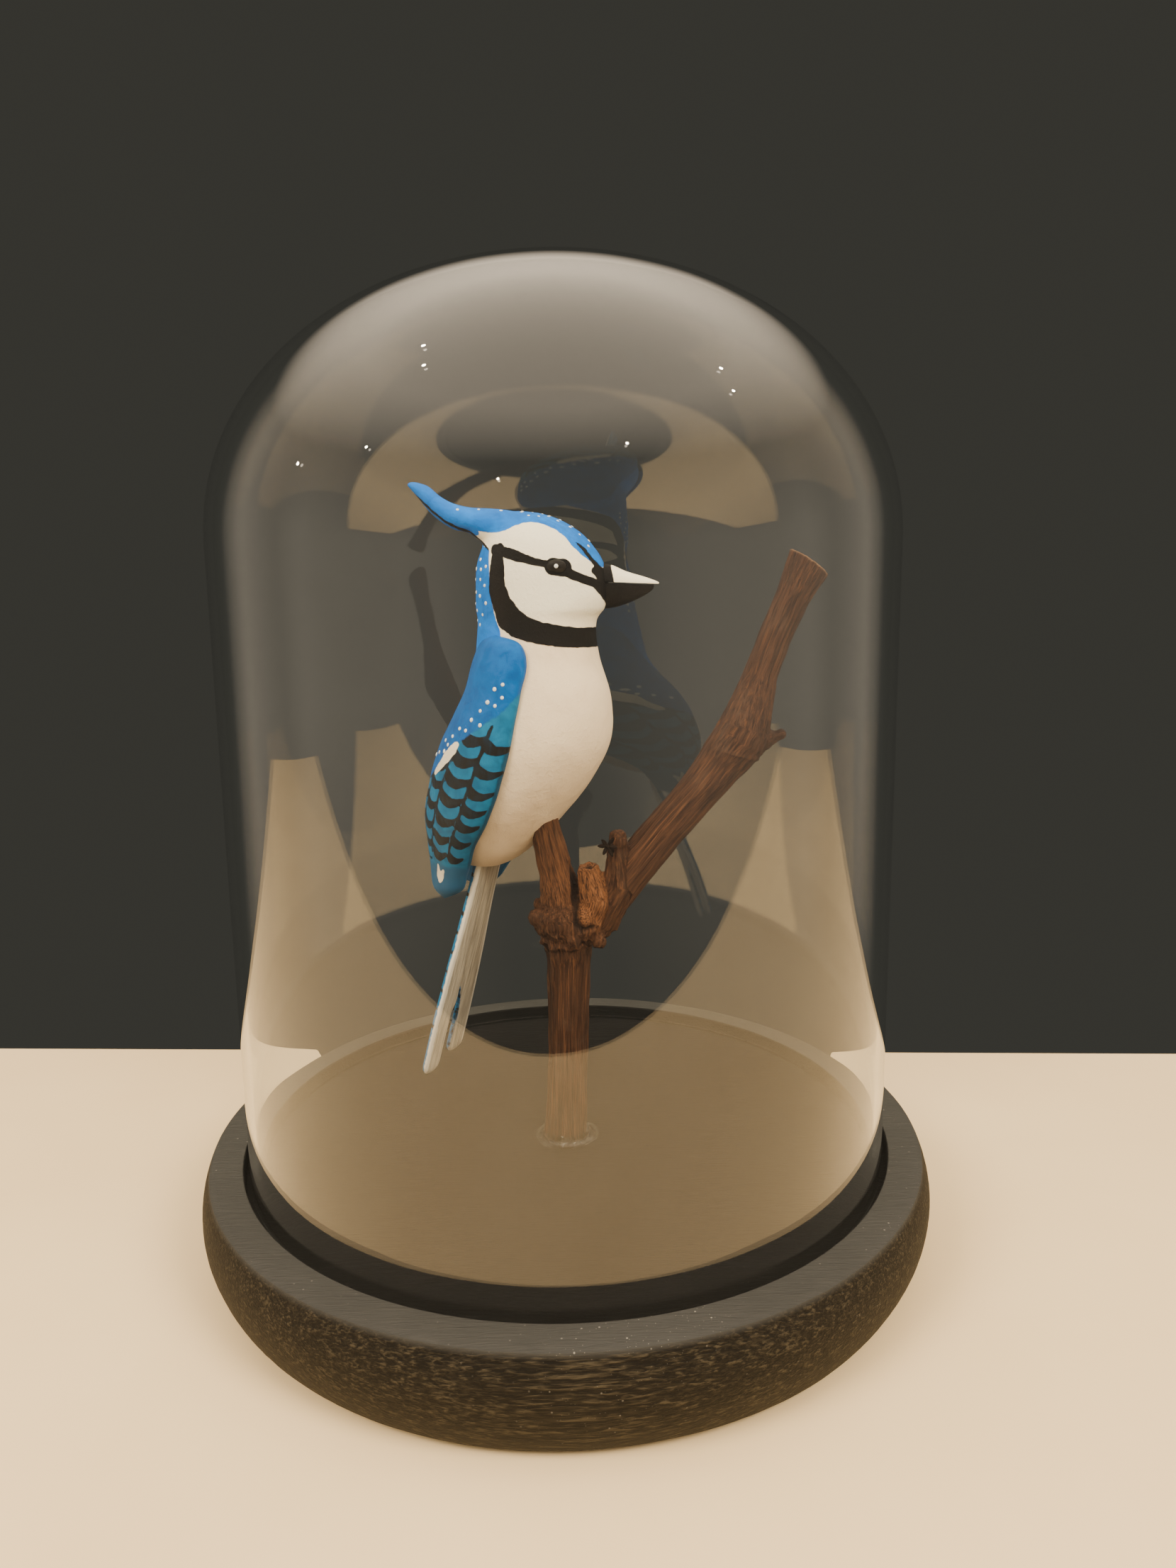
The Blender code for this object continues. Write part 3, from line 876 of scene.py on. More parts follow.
def move_corners(bm: BMesh, places: Array) -> None:
    """Put a bmesh's vertices at new places."""
    for vertex, place in zip(bm.verts, places):
        vertex.co = place


def push_out(bm: BMesh, at: Array, distance_mm: Array) -> Array:
    """Move a bmesh's vertices along its surface's outward direction.

    Args:
        bm: the bmesh.
        at: its vertices' places.
        distance_mm: how far each goes.

    Returns:
        The new places.
    """
    bm.normal_update()
    moved = at + np.array([v.normal for v in bm.verts], float) * distance_mm[:, None] * MM
    move_corners(bm, moved)
    return moved


def shaped_sphere(bm: BMesh, place: Place, sides: int, rings: int) -> list[bmesh.types.BMVert]:
    """Add a closed form made from a sphere.

    Args:
        bm: the bmesh that it is added to.
        place: gives the vertices' places from t, 0 to 1 along it, and the angle round it.
        sides: faces round it.
        rings: faces along it.

    Returns:
        The new vertices.
    """
    made = bmesh.ops.create_uvsphere(bm, u_segments=sides, v_segments=rings, radius=1.0)["verts"]
    at = np.array([v.co for v in made], float)
    t = 1.0 - np.arccos(np.clip(at[:, 2], -1.0, 1.0)) / math.pi
    for vertex, where in zip(made, place(t, np.arctan2(at[:, 1], at[:, 0]))):
        vertex.co = where
    return made


def spun(profile: Sequence[tuple[float, float]], steps: int) -> BMesh:
    """Turn a profile round Z into a closed form.

    Args:
        profile: (radius, height) points. The profile closes on itself, or starts and ends on the axis.
        steps: faces round the form.

    Returns:
        The bmesh.
    """
    bm = bmesh.new()
    row = [bm.verts.new((r, 0.0, z)) for r, z in profile]
    pairs = list(zip(row, row[1:]))
    if profile[0][0] > 1e-6:
        pairs.append((row[-1], row[0]))
    edges = [bm.edges.new(pair) for pair in pairs]
    bmesh.ops.spin(
        bm,
        geom=row + edges,
        cent=(0, 0, 0),
        axis=(0, 0, 1),
        angle=2 * math.pi,
        steps=steps,
        use_merge=True,
    )
    bmesh.ops.remove_doubles(bm, verts=bm.verts, dist=1e-6)
    return bm


def arc(
    centre: tuple[float, float],
    radii: tuple[float, float],
    start: float,
    end: float,
    count: int,
    power: float = 2.0,
) -> list[tuple[float, float]]:
    """Lay points on a (super)elliptic arc.

    Args:
        centre: the arc's centre, as (radius, height).
        radii: its half sizes across and up.
        start: the first angle, in degrees.
        end: the last angle, in degrees.
        count: how many steps it takes.
        power: 2 for an ellipse, more for a fuller curve.

    Returns:
        The points.
    """
    points = []
    for i in range(count + 1):
        a = math.radians(start + (end - start) * i / count)
        unit = (math.cos(a), math.sin(a))
        across, up = (0.0 if abs(x) < 1e-9 else math.copysign(abs(x) ** (2 / power), x) for x in unit)
        points.append((centre[0] + radii[0] * across, centre[1] + radii[1] * up))
    return points


def carry(mesh: Mesh, name: str, values: Array) -> None:
    """Store a number or a vector for each vertex, for the materials to read.

    Args:
        mesh: The mesh that carries them.
        name: The attribute's name.
        values: One row for each vertex.
    """
    kind, key = ("FLOAT", "value") if values.ndim == 1 else ("FLOAT_VECTOR", "vector")
    made = mesh.attributes.new(name, kind, "POINT")
    made.data.foreach_set(key, np.ascontiguousarray(values, np.float32).ravel())


def mesh_corners(mesh: Mesh) -> Array:
    """Read the places of a mesh's vertices.

    Args:
        mesh: The mesh.

    Returns:
        One row of x, y and z for each vertex.
    """
    found = np.zeros(len(mesh.vertices) * 3, np.float32)
    mesh.vertices.foreach_get("co", found)
    return found.reshape(-1, 3).astype(float)


def skin_of(mesh: Mesh) -> BVHTree:
    """Make the search tree of a mesh's surface."""
    return BVHTree.FromPolygons([v.co for v in mesh.vertices], [p.vertices for p in mesh.polygons])


def fused(bm: BMesh, voxel_mm: float, rounds: int) -> BMesh:
    """Fuse overlapping closed forms into one skin.

    Args:
        bm: the forms, which is freed.
        voxel_mm: the grain of the skin.
        rounds: how many times it is smoothed.

    Returns:
        The new bmesh.
    """
    point_faces_out(bm)
    mesh = bpy.data.meshes.new("fusing")
    bm.to_mesh(mesh)
    bm.free()
    lump = bpy.data.objects.new("fusing", mesh)
    bpy.context.scene.collection.objects.link(lump)
    skin = lump.modifiers.new("Skin", "REMESH")
    skin.mode = "VOXEL"
    skin.voxel_size = voxel_mm * MM
    bpy.context.view_layer.update()
    seen = lump.evaluated_get(bpy.context.evaluated_depsgraph_get())
    whole = bmesh.new()
    whole.from_mesh(seen.to_mesh())
    seen.to_mesh_clear()
    bpy.data.objects.remove(lump)
    bpy.data.meshes.remove(mesh)
    for _ in range(rounds):
        bmesh.ops.smooth_vert(whole, verts=whole.verts, factor=0.5, use_axis_x=True, use_axis_y=True, use_axis_z=True)
    return whole


def ripple(places: Array, size: float, layers: int = 3) -> Array:
    """Read a smooth noise, from about -1 to 1, at many places.

    Args:
        places: the places.
        size: how many of the places' units one wave is long.
        layers: how many finer waves it has.

    Returns:
        The noise at each place.
    """
    return np.array([noise.fractal(p / size, 0.9, 2.1, layers) for p in map(Vector, places)])


@dataclass
class Bench:
    """Where finished pieces are put together: each rides on its body, and is reported."""

    nodes: dict[str, bpy.types.Object]

    def put(
        self,
        name: str,
        mesh: Mesh,
        finish: Finish,
        body: Body,
        nodes: Sequence[str] = (),
    ) -> bpy.types.Object:
        """Add one piece.

        Args:
            name: the piece's name.
            mesh: its shape, in its place.
            finish: its finish.
            body: the body it rides on.
            nodes: the CAD nodes that it stands for.

        Returns:
            The piece.
        """
        piece = bpy.data.objects.new(name, mesh)
        bpy.context.scene.collection.objects.link(piece)
        mesh.materials.append(finish.material())
        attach(piece, body.value)
        if nodes:
            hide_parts(*nodes)
        LOG.info("%s: %d vertices, rides on %s", name, len(mesh.vertices), body.value)
        return piece

    def dress(self, node: str, finish: Finish) -> None:
        """Give a CAD node that stays a better material.

        Args:
            node: The CAD node's name.
            finish: The finish it gets.
        """
        piece = self.nodes[node]
        piece.data.materials.clear()
        piece.data.materials.append(finish.material())
        LOG.info("%s: dressed in %s", node, finish.name)


# ---------------------------------------------------------------- base and dome


@dataclass
class TurnedBase:
    """The turned wooden base with its felt and the glue at the branch's foot."""

    rim_z: float = 0.0315
    recess_radius: float = 0.1015
    recess_depth: float = 0.0050
    nose_radius: float = 0.0267
    nose_r: float = 0.0877
    nose_z: float = 0.0195
    wood_z: float = 0.0018
    felt_radius: float = 0.1000
    felt_top: float = 0.0015
    foot_radius: float = 0.0076
    bead: float = 0.0026
    steps: int = 288

    @property
    def floor_z(self) -> float:
        """Height of the recess's floor."""
        return self.rim_z - self.recess_depth

    def wood(self) -> Mesh:
        """Turn the base: a flat rim, a bullnose side and the recess, with its sharp turnings eased by sanding.

        Returns:
            The base's mesh.
        """
        top = math.degrees(math.asin((self.rim_z - 0.0004 - self.nose_z) / self.nose_radius))
        low = math.degrees(math.asin((self.wood_z + 0.0012 - self.nose_z) / self.nose_radius))
        side = arc((self.nose_r, self.nose_z), (self.nose_radius, self.nose_radius), top, low, 36)
        ease = 0.0009
        lip = arc((self.recess_radius + ease, self.rim_z - ease), (ease, ease), 180, 90, 5)
        floor = [(self.recess_radius * i / 14, self.floor_z) for i in range(15)]
        hollow = arc((self.recess_radius - 0.0006, self.floor_z + 0.0006), (0.0006, 0.0006), -90, 0, 3)
        rim = [(side[0][0] - 0.0021, self.rim_z), (side[0][0] - 0.0009, self.rim_z - 0.00012)]
        under = [(side[-1][0] - 0.0016, self.wood_z), (0.06, self.wood_z), (0.0, self.wood_z)]
        bm = spun(floor[:-1] + hollow + lip + rim + side + under, self.steps)
        at = corners(bm)
        grain = ripple(at * (110.0, 620.0, 620.0), 1.0, 2) * 0.00006 + ripple(at, 0.045, 2) * 0.00018
        outward = at * (1.0, 1.0, 0.0)
        reach = np.linalg.norm(outward, axis=1, keepdims=True)
        skin = (reach > self.recess_radius + 0.004) & (at[:, 2:] > self.wood_z + 0.001)
        move_corners(bm, at + np.where(skin, outward / np.maximum(reach, 1e-6) * grain[:, None], 0.0))
        mesh = made_mesh(bm, "turned_wood", 30.0)
        outside = (reach[:, 0] > self.recess_radius + ease * 0.5).astype(float)
        # 1 outside the recess, 0 on its floor, which is kept darker as painted shade and gets less dust
        carry(mesh, "open_air", outside)
        # the rim's top, which gets the painted sheen and more dust
        carry(mesh, "top", outside * np.clip((at[:, 2] - self.rim_z + 0.0016) / 0.0013, 0.0, 1.0))
        return mesh

    def felt(self) -> Mesh:
        """Cut the felt disc, with an edge that is a little uneven.

        Returns:
            The felt's mesh.
        """
        radius, top = self.felt_radius, self.felt_top
        ease = 0.0003
        edge = [(radius - ease, top), (radius, top - ease), (radius, ease), (radius - ease, 0.0)]
        bm = spun([(0.0, top), *edge, (0.0, 0.0)], 192)
        at = corners(bm)
        uneven = 1.0 + ripple(at, 0.006, 2) * 0.0018 - 0.0018
        move_corners(bm, at * np.stack([uneven, uneven, np.ones(len(at))], 1))
        return made_mesh(bm, "felt_disc", 50.0)

    def glue(self) -> Mesh:
        """Run the bead of glue round the branch's foot, uneven as it was squeezed out.

        Returns:
            The bead's mesh.
        """
        inner, floor = self.foot_radius, self.floor_z + 0.0001
        bead, turns = self.bead, np.linspace(0.0, math.pi / 2, 9)
        outer = [(inner + bead * (1 - math.cos(a)), floor + bead * (1 - math.sin(a))) for a in turns[:-1]]
        hidden = inner - 0.0012
        bm = spun([(hidden, floor), (hidden, floor + bead), *outer, (inner + 0.0027, floor)], 96)
        at = corners(bm)
        uneven = 1.0 + ripple(at, 0.005, 2) * 0.10
        lift = floor + (at[:, 2] - floor) * (1.0 + ripple(at + 0.3, 0.006, 2) * 0.25)
        move_corners(bm, np.stack([at[:, 0] * uneven, at[:, 1] * uneven, lift], 1))
        return made_mesh(bm, "glue_bead", 60.0)

    def build(self, bench: Bench) -> None:
        """Make the base's pieces and put them on the bench.

        Args:
            bench: Where the finished pieces go.
        """
        bench.put("stained_base", self.wood(), STAIN, Body.BASE, ["turned_base"])
        bench.put("felt_disc", self.felt(), FELT, Body.BASE, ["base_felt"])
        bench.put("glue_bead", self.glue(), GLUE, Body.BASE, ["foot_glue"])
        bench.dress("stem_screw", STEEL)


@dataclass
class GlassDome:
    """The blown dome: one wall, open below, with a fire-rounded rim."""

    radius: float = 0.1000
    wall: float = 0.0025
    rise: float = 0.0789
    power: float = 2.07
    spring_z: float = 0.2149
    foot_z: float = 0.0268
    waver_mm: float = 0.16
    steps: int = 224

    def shell(self) -> Mesh:
        """Blow the dome: the profile is turned, and the whole wall wavers a little, as blown glass does.

        Returns:
            The dome's mesh, a closed wall.
        """
        half, inside = self.wall / 2, self.radius - self.wall
        straight = [self.spring_z + (self.foot_z + half - self.spring_z) * i / 14 for i in range(1, 14)]
        profile = arc((0.0, self.spring_z), (self.radius, self.rise), 90, 0, 44, self.power)
        profile += [(self.radius, z) for z in straight]
        profile += arc((self.radius - half, self.foot_z + half), (half, half), 0, -180, 10)
        profile += [(inside, z) for z in reversed(straight)]
        profile += arc((0.0, self.spring_z), (inside, self.rise - self.wall), 0, 90, 44, self.power)
        bm = spun(profile, self.steps)
        at = corners(bm)
        reach = np.linalg.norm(at[:, :2], axis=1)
        turn = at / np.maximum(reach, 1e-6)[:, None]
        spot = np.stack([turn[:, 0] * 1.6, turn[:, 1] * 1.6, at[:, 2] * 9.0], 1)
        waver = ripple(spot, 1.0, 2) * self.waver_mm * MM * np.clip(reach / 0.05, 0.0, 1.0)
        waver *= np.clip((at[:, 2] - self.foot_z) / 0.03, 0.0, 1.0)
        move_corners(bm, at - np.stack([turn[:, 0], turn[:, 1], np.zeros(len(at))], 1) * np.abs(waver)[:, None])
        return made_mesh(bm, "blown_shell", 80.0)

    def build(self, bench: Bench) -> None:
        """Make the dome and put it on the bench."""
        bench.put("blown_dome", self.shell(), GLASS, Body.DOME, ["glass_dome"])


# ---------------------------------------------------------------- branch


@dataclass(frozen=True)
class Stroke:
    """A brush stroke: points in mm over a surface, each with the brush's half width there."""

    points: Table

    def edge(self, across: Array, up: Array) -> Array:
        """Measure how far places are outside the stroke, in mm; inside it is negative.

        Args:
            across: How far the places are across the skin.
            up: How high they are on it.

        Returns:
            The distances to the stroke's edge.
        """
        best = np.full(len(across), 1e9)
        for (x0, y0, r0), (x1, y1, r1) in zip(self.points, self.points[1:] or self.points):
            dx, dy = x1 - x0, y1 - y0
            k = np.clip(((across - x0) * dx + (up - y0) * dy) / max(dx * dx + dy * dy, 1e-9), 0.0, 1.0)
            away = np.hypot(across - x0 - k * dx, up - y0 - k * dy)
            best = np.minimum(best, away - r0 - k * (r1 - r0))
        return best


@dataclass(frozen=True)
class Run:
    """One length of branch: its middle line in mm with a radius at each point."""

    points: Table

    def place(self, t: Array, angle: Array) -> Array:
        """Place points on the run's skin, in metres, with a round end at both ends.

        Args:
            t: Shares of the way along the run, 0 to 1.
            angle: Angles round it, in radians.

        Returns:
            One row of x, y and z for each point.
        """
        table = np.asarray(self.points, float)
        gaps = np.linalg.norm(np.diff(table[:, :3], axis=0), axis=1)
        walk = np.concatenate([[0.0], np.cumsum(gaps)])
        end_cap = 0.06
        along = np.clip((t - end_cap) / (1 - 2 * end_cap), 0.0, 1.0) * walk[-1]
        middle = np.stack([np.interp(along, walk, table[:, k]) for k in range(4)], 1)
        step = 0.5
        ahead = np.stack([np.interp(np.minimum(along + step, walk[-1]), walk, table[:, k]) for k in range(3)], 1)
        behind = np.stack([np.interp(np.maximum(along - step, 0.0), walk, table[:, k]) for k in range(3)], 1)
        forward = ahead - behind
        forward /= np.linalg.norm(forward, axis=1, keepdims=True)
        across = np.cross(forward, (0.0, 1.0, 0.0))
        across /= np.linalg.norm(across, axis=1, keepdims=True)
        other = np.cross(forward, across)
        cap = np.minimum(np.minimum(t, 1 - t) / end_cap, 1.0)
        shrink = np.sqrt(np.clip(1 - (1 - cap) ** 2, 0.0, 1.0)) * middle[:, 3]
        nose = (1 - cap) * middle[:, 3] * 0.35 * np.where(t > 0.5, 1.0, -1.0)
        offset = across * np.cos(angle)[:, None] + other * np.sin(angle)[:, None]
        return (middle[:, :3] + offset * shrink[:, None] + forward * nose[:, None]) * MM

    def grain(self, at: Array) -> tuple[Array, Array]:
        """Find how a place lies on the run.

        Args:
            at: places in mm.

        Returns:
            The distance outside the run's skin, and the place straightened along the run: across, depth, along.
        """
        best = np.full(len(at), 1e9)
        straight = np.zeros((len(at), 3))
        walked = 0.0
        for first, second in zip(self.points, self.points[1:]):
            start, end = np.array(first[:3]), np.array(second[:3])
            length = float(np.linalg.norm(end - start))
            way = (end - start) / length
            k = np.clip((at - start) @ way / length, 0.0, 1.0)
            off = at - start - np.outer(k * length, way)
            out = np.linalg.norm(off, axis=1) - (first[3] + k * (second[3] - first[3]))
            across = np.cross(way, (0.0, 1.0, 0.0))
            nearer = out < best
            lying = np.stack([off @ across, off[:, 1], walked + k * length + (off @ way)], 1)
            straight[nearer] = lying[nearer]
            best = np.minimum(best, out)
            walked += length
        return best, straight


@dataclass
class VineBranch:
    """The forked vine branch, with its knot, broken stubs, bud and a dried flower."""

    stem: Run = Run(
        (
            (-0.2, 0, 26.8, 7.0), (0.2, 0, 45, 6.6), (0.8, 0, 65, 6.7), (1.2, 0, 86, 7.1), (1.0, 0, 97, 8.6),
            (-0.4, 0, 106, 6.7), (-1.7, 0, 114, 5.4), (-3.5, 0, 122, 5.0), (-5.0, 0, 129, 4.9), (-6.2, 0, 134, 4.8),
        )
    )
    arm: Run = Run(
        (
            (5.0, 0, 97.0, 6.4), (14.0, 0, 105.2, 6.4), (25.7, 0, 120.4, 6.6), (33.7, 0, 129.9, 6.5),
            (42.3, 0, 139.5, 6.6), (50.0, 0, 148.9, 7.3), (56.6, 0, 157.5, 8.6), (59.3, 0, 166.5, 7.0),
            (62.2, 0, 176.0, 5.3), (66.2, 0, 187.0, 4.9), (71.4, 0, 199.0, 5.3), (75.0, 0, 206.5, 6.4),
            (80.5, 0, 217.5, 7.8),
        )
    )
    stub: Run = Run(((8.0, -1, 98, 6.8), (10.6, -3, 106.5, 5.4), (7.9, -4, 117.6, 3.5)))
    spur: Run = Run(((12.0, -1, 100, 6.0), (17.5, -2, 110, 5.2), (17.2, -3, 121, 3.6), (17.4, -3, 128.2, 2.6)))
    bud: Run = Run(((57.0, 0, 157.0, 5.5), (64.0, 0, 156.4, 3.6), (68.2, 0, 157.3, 1.6)))
    burls: Table = (
        (-8.0, -2.5, 101.4, 3.0), (-7.0, 3.0, 103.8, 2.4), (12.6, -3.0, 97.4, 2.9), (11.0, -6.5, 94.6, 2.4),
        (3.0, -8.0, 95.6, 2.6), (13.4, 2.0, 99.2, 2.6), (-3.5, 8.4, 98.0, 3.0), (7.0, 8.0, 101.5, 3.2),
        (17.6, -3.8, 125.6, 2.9), (68.6, -0.6, 157.8, 1.9),
    )
    knot_centre: tuple[float, float, float] = (2.6, 0.0, 99.8)
    knot_radii: tuple[float, float, float] = (12.2, 10.5, 8.2)
    cut_point: tuple[float, float, float] = (76.6, 0.0, 210.1)
    cut_normal: tuple[float, float, float] = (0.578, 0.0, 0.816)
    stub_top: tuple[float, float, float] = (8.1, -5.0, 118.8)
    flower: tuple[float, float, float] = (14.0, -7.4, 125.0)
    cleft: Stroke = Stroke(
        ((3.4, 119.0, 0.3), (3.9, 109.0, 0.6), (4.3, 101.0, 0.7), (6.6, 98.8, 0.5), (9.8, 99.4, 0.3))
    )
    side_cleft: Stroke = Stroke(((-5.6, 93.0, 0.2), (-5.9, 84.0, 0.5), (-5.7, 70.0, 0.35), (-6.0, 52.0, 0.1)))
    voxel_mm: float = 0.52

    def rough_form(self) -> BMesh:
        """Lay the runs, knot and burls into each other and fuse them into one skin.

        Returns:
            The fused skin, before the bark is worked in.
        """
        bm = bmesh.new()
        arm = bmesh.new()
        shaped_sphere(arm, self.arm.place, 40, 120)
        cut = Vector(self.cut_point) * MM
        whole = arm.verts[:] + arm.edges[:] + arm.faces[:]
        sawn = bmesh.ops.bisect_plane(arm, geom=whole, plane_co=cut, plane_no=self.cut_normal, clear_outer=True)
        rim = [item for item in sawn["geom_cut"] if isinstance(item, bmesh.types.BMEdge)]
        bmesh.ops.contextual_create(arm, geom=rim)
        point_faces_out(arm)
        sawn_arm = bpy.data.meshes.new("sawn_arm")
        arm.to_mesh(sawn_arm)
        arm.free()
        bm.from_mesh(sawn_arm)
        bpy.data.meshes.remove(sawn_arm)
        for run in (self.stem, self.stub, self.spur, self.bud):
            shaped_sphere(bm, run.place, 40, 90)
        for x, y, z, r in self.burls:
            spot = Matrix.Translation(Vector((x, y, z)) * MM)
            bmesh.ops.create_icosphere(bm, subdivisions=3, radius=r * MM, matrix=spot)
        place = Matrix.Translation(Vector(self.knot_centre) * MM)
        place @= Matrix.Diagonal((*self.knot_radii, 1.0)) @ Matrix.Scale(MM, 4)
        bmesh.ops.create_uvsphere(bm, u_segments=40, v_segments=24, radius=1.0, matrix=place)
        return fused(bm, self.voxel_mm, 2)

    def lie(self, at: Array) -> tuple[Array, Array]:
        """Find which run each place lies on, and its straightened place along that run.

        Args:
            at: places in mm.

        Returns:
            The run's number, 0 for the stem and its perch, 1 arm, 2 stub, 3 spur, 4 bud, and the straightened places.
        """
        found = [run.grain(at) for run in (self.stem, self.arm, self.stub, self.spur, self.bud)]
        nearest = np.argmin(np.stack([out for out, _ in found]), 0)
        straight = np.stack([lying for _, lying in found])[nearest, np.arange(len(at))]
        return nearest, straight + nearest[:, None] * (0.0, 0.0, 310.0)

    def bark(self) -> Mesh:
        """Make the branch: the fused form with long fibres, a rough knot, scars and frayed stubs worked into it.

        Returns:
            The branch's mesh.
        """
        bm = self.rough_form()
        at = corners(bm) / MM
        run, straight = self.lie(at)
        near_knot = np.exp(-(((at - self.knot_centre) / (15.0, 12.0, 10.0)) ** 2).sum(1))
        on_arm = (run == 1) | (run == 4)
        stub_like = np.isin(run, (2, 3)).astype(float)
        beyond = (at - self.cut_point) @ np.array(self.cut_normal)
        sawn = np.clip((beyond + 0.55) / 0.4, 0.0, 1.0) * on_arm
        strand = straight * (1.0, 1.0, 0.055)
        ridges = ripple(strand, 1.7, 3) * np.where(on_arm, 0.26, 0.46)
        folds = np.clip(1.0 - np.abs(ripple(strand * (1.0, 1.0, 0.6) + 50.0, 3.6, 1)) / 0.16, 0.0, 1.0)
        ridges -= folds * np.where(on_arm, 0.22, 0.42)
        fibres = ripple(strand * (1.0, 1.0, 1.6) + 7.0, 0.72, 2) * (0.12 + 0.16 * stub_like)
        lumps = ripple(at + 11.0, 9.0, 2) * 0.35
        gnarl = ripple(at * (1.0, 1.0, 0.62) + 23.0, 3.0, 3) * 1.05 * near_knot
        gnarl += ripple(at * (1.0, 1.0, 0.40) + 5.0, 1.5, 2) * 0.50 * near_knot
        clefts = [line.edge(at[:, 0], at[:, 2]) for line in (self.cleft, self.side_cleft)]
        cleft = np.clip(1.0 - np.minimum(*clefts) / 0.8, 0.0, 1.0) * (at[:, 1] < 1.0)
        scar = np.exp(-(((at[:, 2] - 150.6 - 0.30 * (60.0 - at[:, 0])) / 0.55) ** 2))
        scar *= on_arm & (at[:, 0] > 50) & (at[:, 0] < 70)
        wave = ripple(at * (1.0, 0.3, 0.3) + 31.0, 3.0, 2)
        collar = np.exp(-(((at[:, 2] - 92.6 - 1.1 * wave) / 0.9) ** 2)) * (run == 0) * 0.8
        hole = np.linalg.norm((at - self.stub_top) / (1.7, 1.7, 2.4), axis=1)
        hollow = np.clip(1.25 - hole, 0.0, 1.0)
        out = (ridges + fibres + lumps + gnarl) * (1.0 - sawn) + scar * 0.45 + collar - cleft * 1.3
        out += ripple(at, 1.3, 2) * 0.10 * sawn
        moved = push_out(bm, at * MM, out) / MM
        moved[:, 2] -= hollow * 2.6
        moved[:, 2] = np.maximum(moved[:, 2], 26.6)
        move_corners(bm, moved * MM)
        mesh = made_mesh(bm, "vine_bark", 180.0)
        carry(mesh, "grain", straight)
        fray = (run == 2) * np.clip((at[:, 2] - 97.0) / 6.0, 0.0, 1.0)
        fray = np.clip(fray + 0.35 * near_knot * (at[:, 0] > 6), 0.0, 1.0)
        # Painted highlight: the perch above 106 mm takes some of the orange fibre colour along its threads.
        perch_painted_highlight = ((run == 0) & (at[:, 2] > 106)).astype(float) * 0.35
        carry(mesh, "fray", np.maximum(fray, perch_painted_highlight))
        carry(mesh, "sawn", sawn)
        # painted shade for the stub's hollow end and the clefts
        carry(mesh, "hollow", np.clip(np.maximum(hollow * 2.2 - 0.3, cleft * 1.1 - 0.3), 0.0, 1.0))
        return mesh

    def dried_flower(self) -> Mesh:
        """Make the dried flower on the spur: six curled sepals round a small button.

        Returns:
            The flower's mesh.
        """
        bm = bmesh.new()
        rng = random.Random(4)
        middle = Vector(self.flower) * MM
        for i in range(6):
            turn = math.radians(60 * i + rng.uniform(-9, 9))
            length = rng.uniform(2.9, 3.8) * MM
            made = bmesh.ops.create_uvsphere(bm, u_segments=12, v_segments=10, radius=1.0)["verts"]
            for vertex in made:
                out, side, up = vertex.co
                reach = (out + 1.0) / 2.0
                width = 1.05 * MM * math.sqrt(max(reach, 0.0)) * (1.15 - 0.75 * reach)
                curl = -0.9 * MM * reach * reach * rng.uniform(0.97, 1.03) - 0.0001
                x, z = reach * length, side * width * 1.2
                level = (x * math.cos(turn) - z * math.sin(turn), x * math.sin(turn) + z * math.cos(turn))
                vertex.co = middle + Vector((level[0], curl + up * 0.28 * MM, level[1]))
        place = Matrix.Translation(middle) @ Matrix.Diagonal((0.8 * MM, 0.9 * MM, 0.8 * MM, 1.0))
        bmesh.ops.create_icosphere(bm, subdivisions=3, radius=1.0, matrix=place)
        stalk = Run(((14.0, -7.1, 125.0, 0.6), (15.4, -5.4, 123.4, 0.7), (17.2, -3.0, 120.5, 0.9)))
        shaped_sphere(bm, stalk.place, 12, 20)
        return made_mesh(bm, "dried_flower", 60.0)

    def build(self, bench: Bench) -> None:
        """Make the branch's pieces and put them on the bench.

        Args:
            bench: Where the finished pieces go.
        """
        bench.put("vine_branch", self.bark(), BARK, Body.BASE, ["forked_branch"])
        bench.put("dried_flower", self.dried_flower(), DRY_FLOWER, Body.BASE)
        bench.dress("perch_pin", DOWEL)


# ---------------------------------------------------------------- bird


@dataclass(frozen=True)
class FeatherRow:
    """A row of painted feathers on the wing: hanging bars between two shafts."""

    front: float
    rear: float
    slope: float
    bars: tuple[float, ...]
    sag: float
    tilt: float
    thick: float
    lean: float


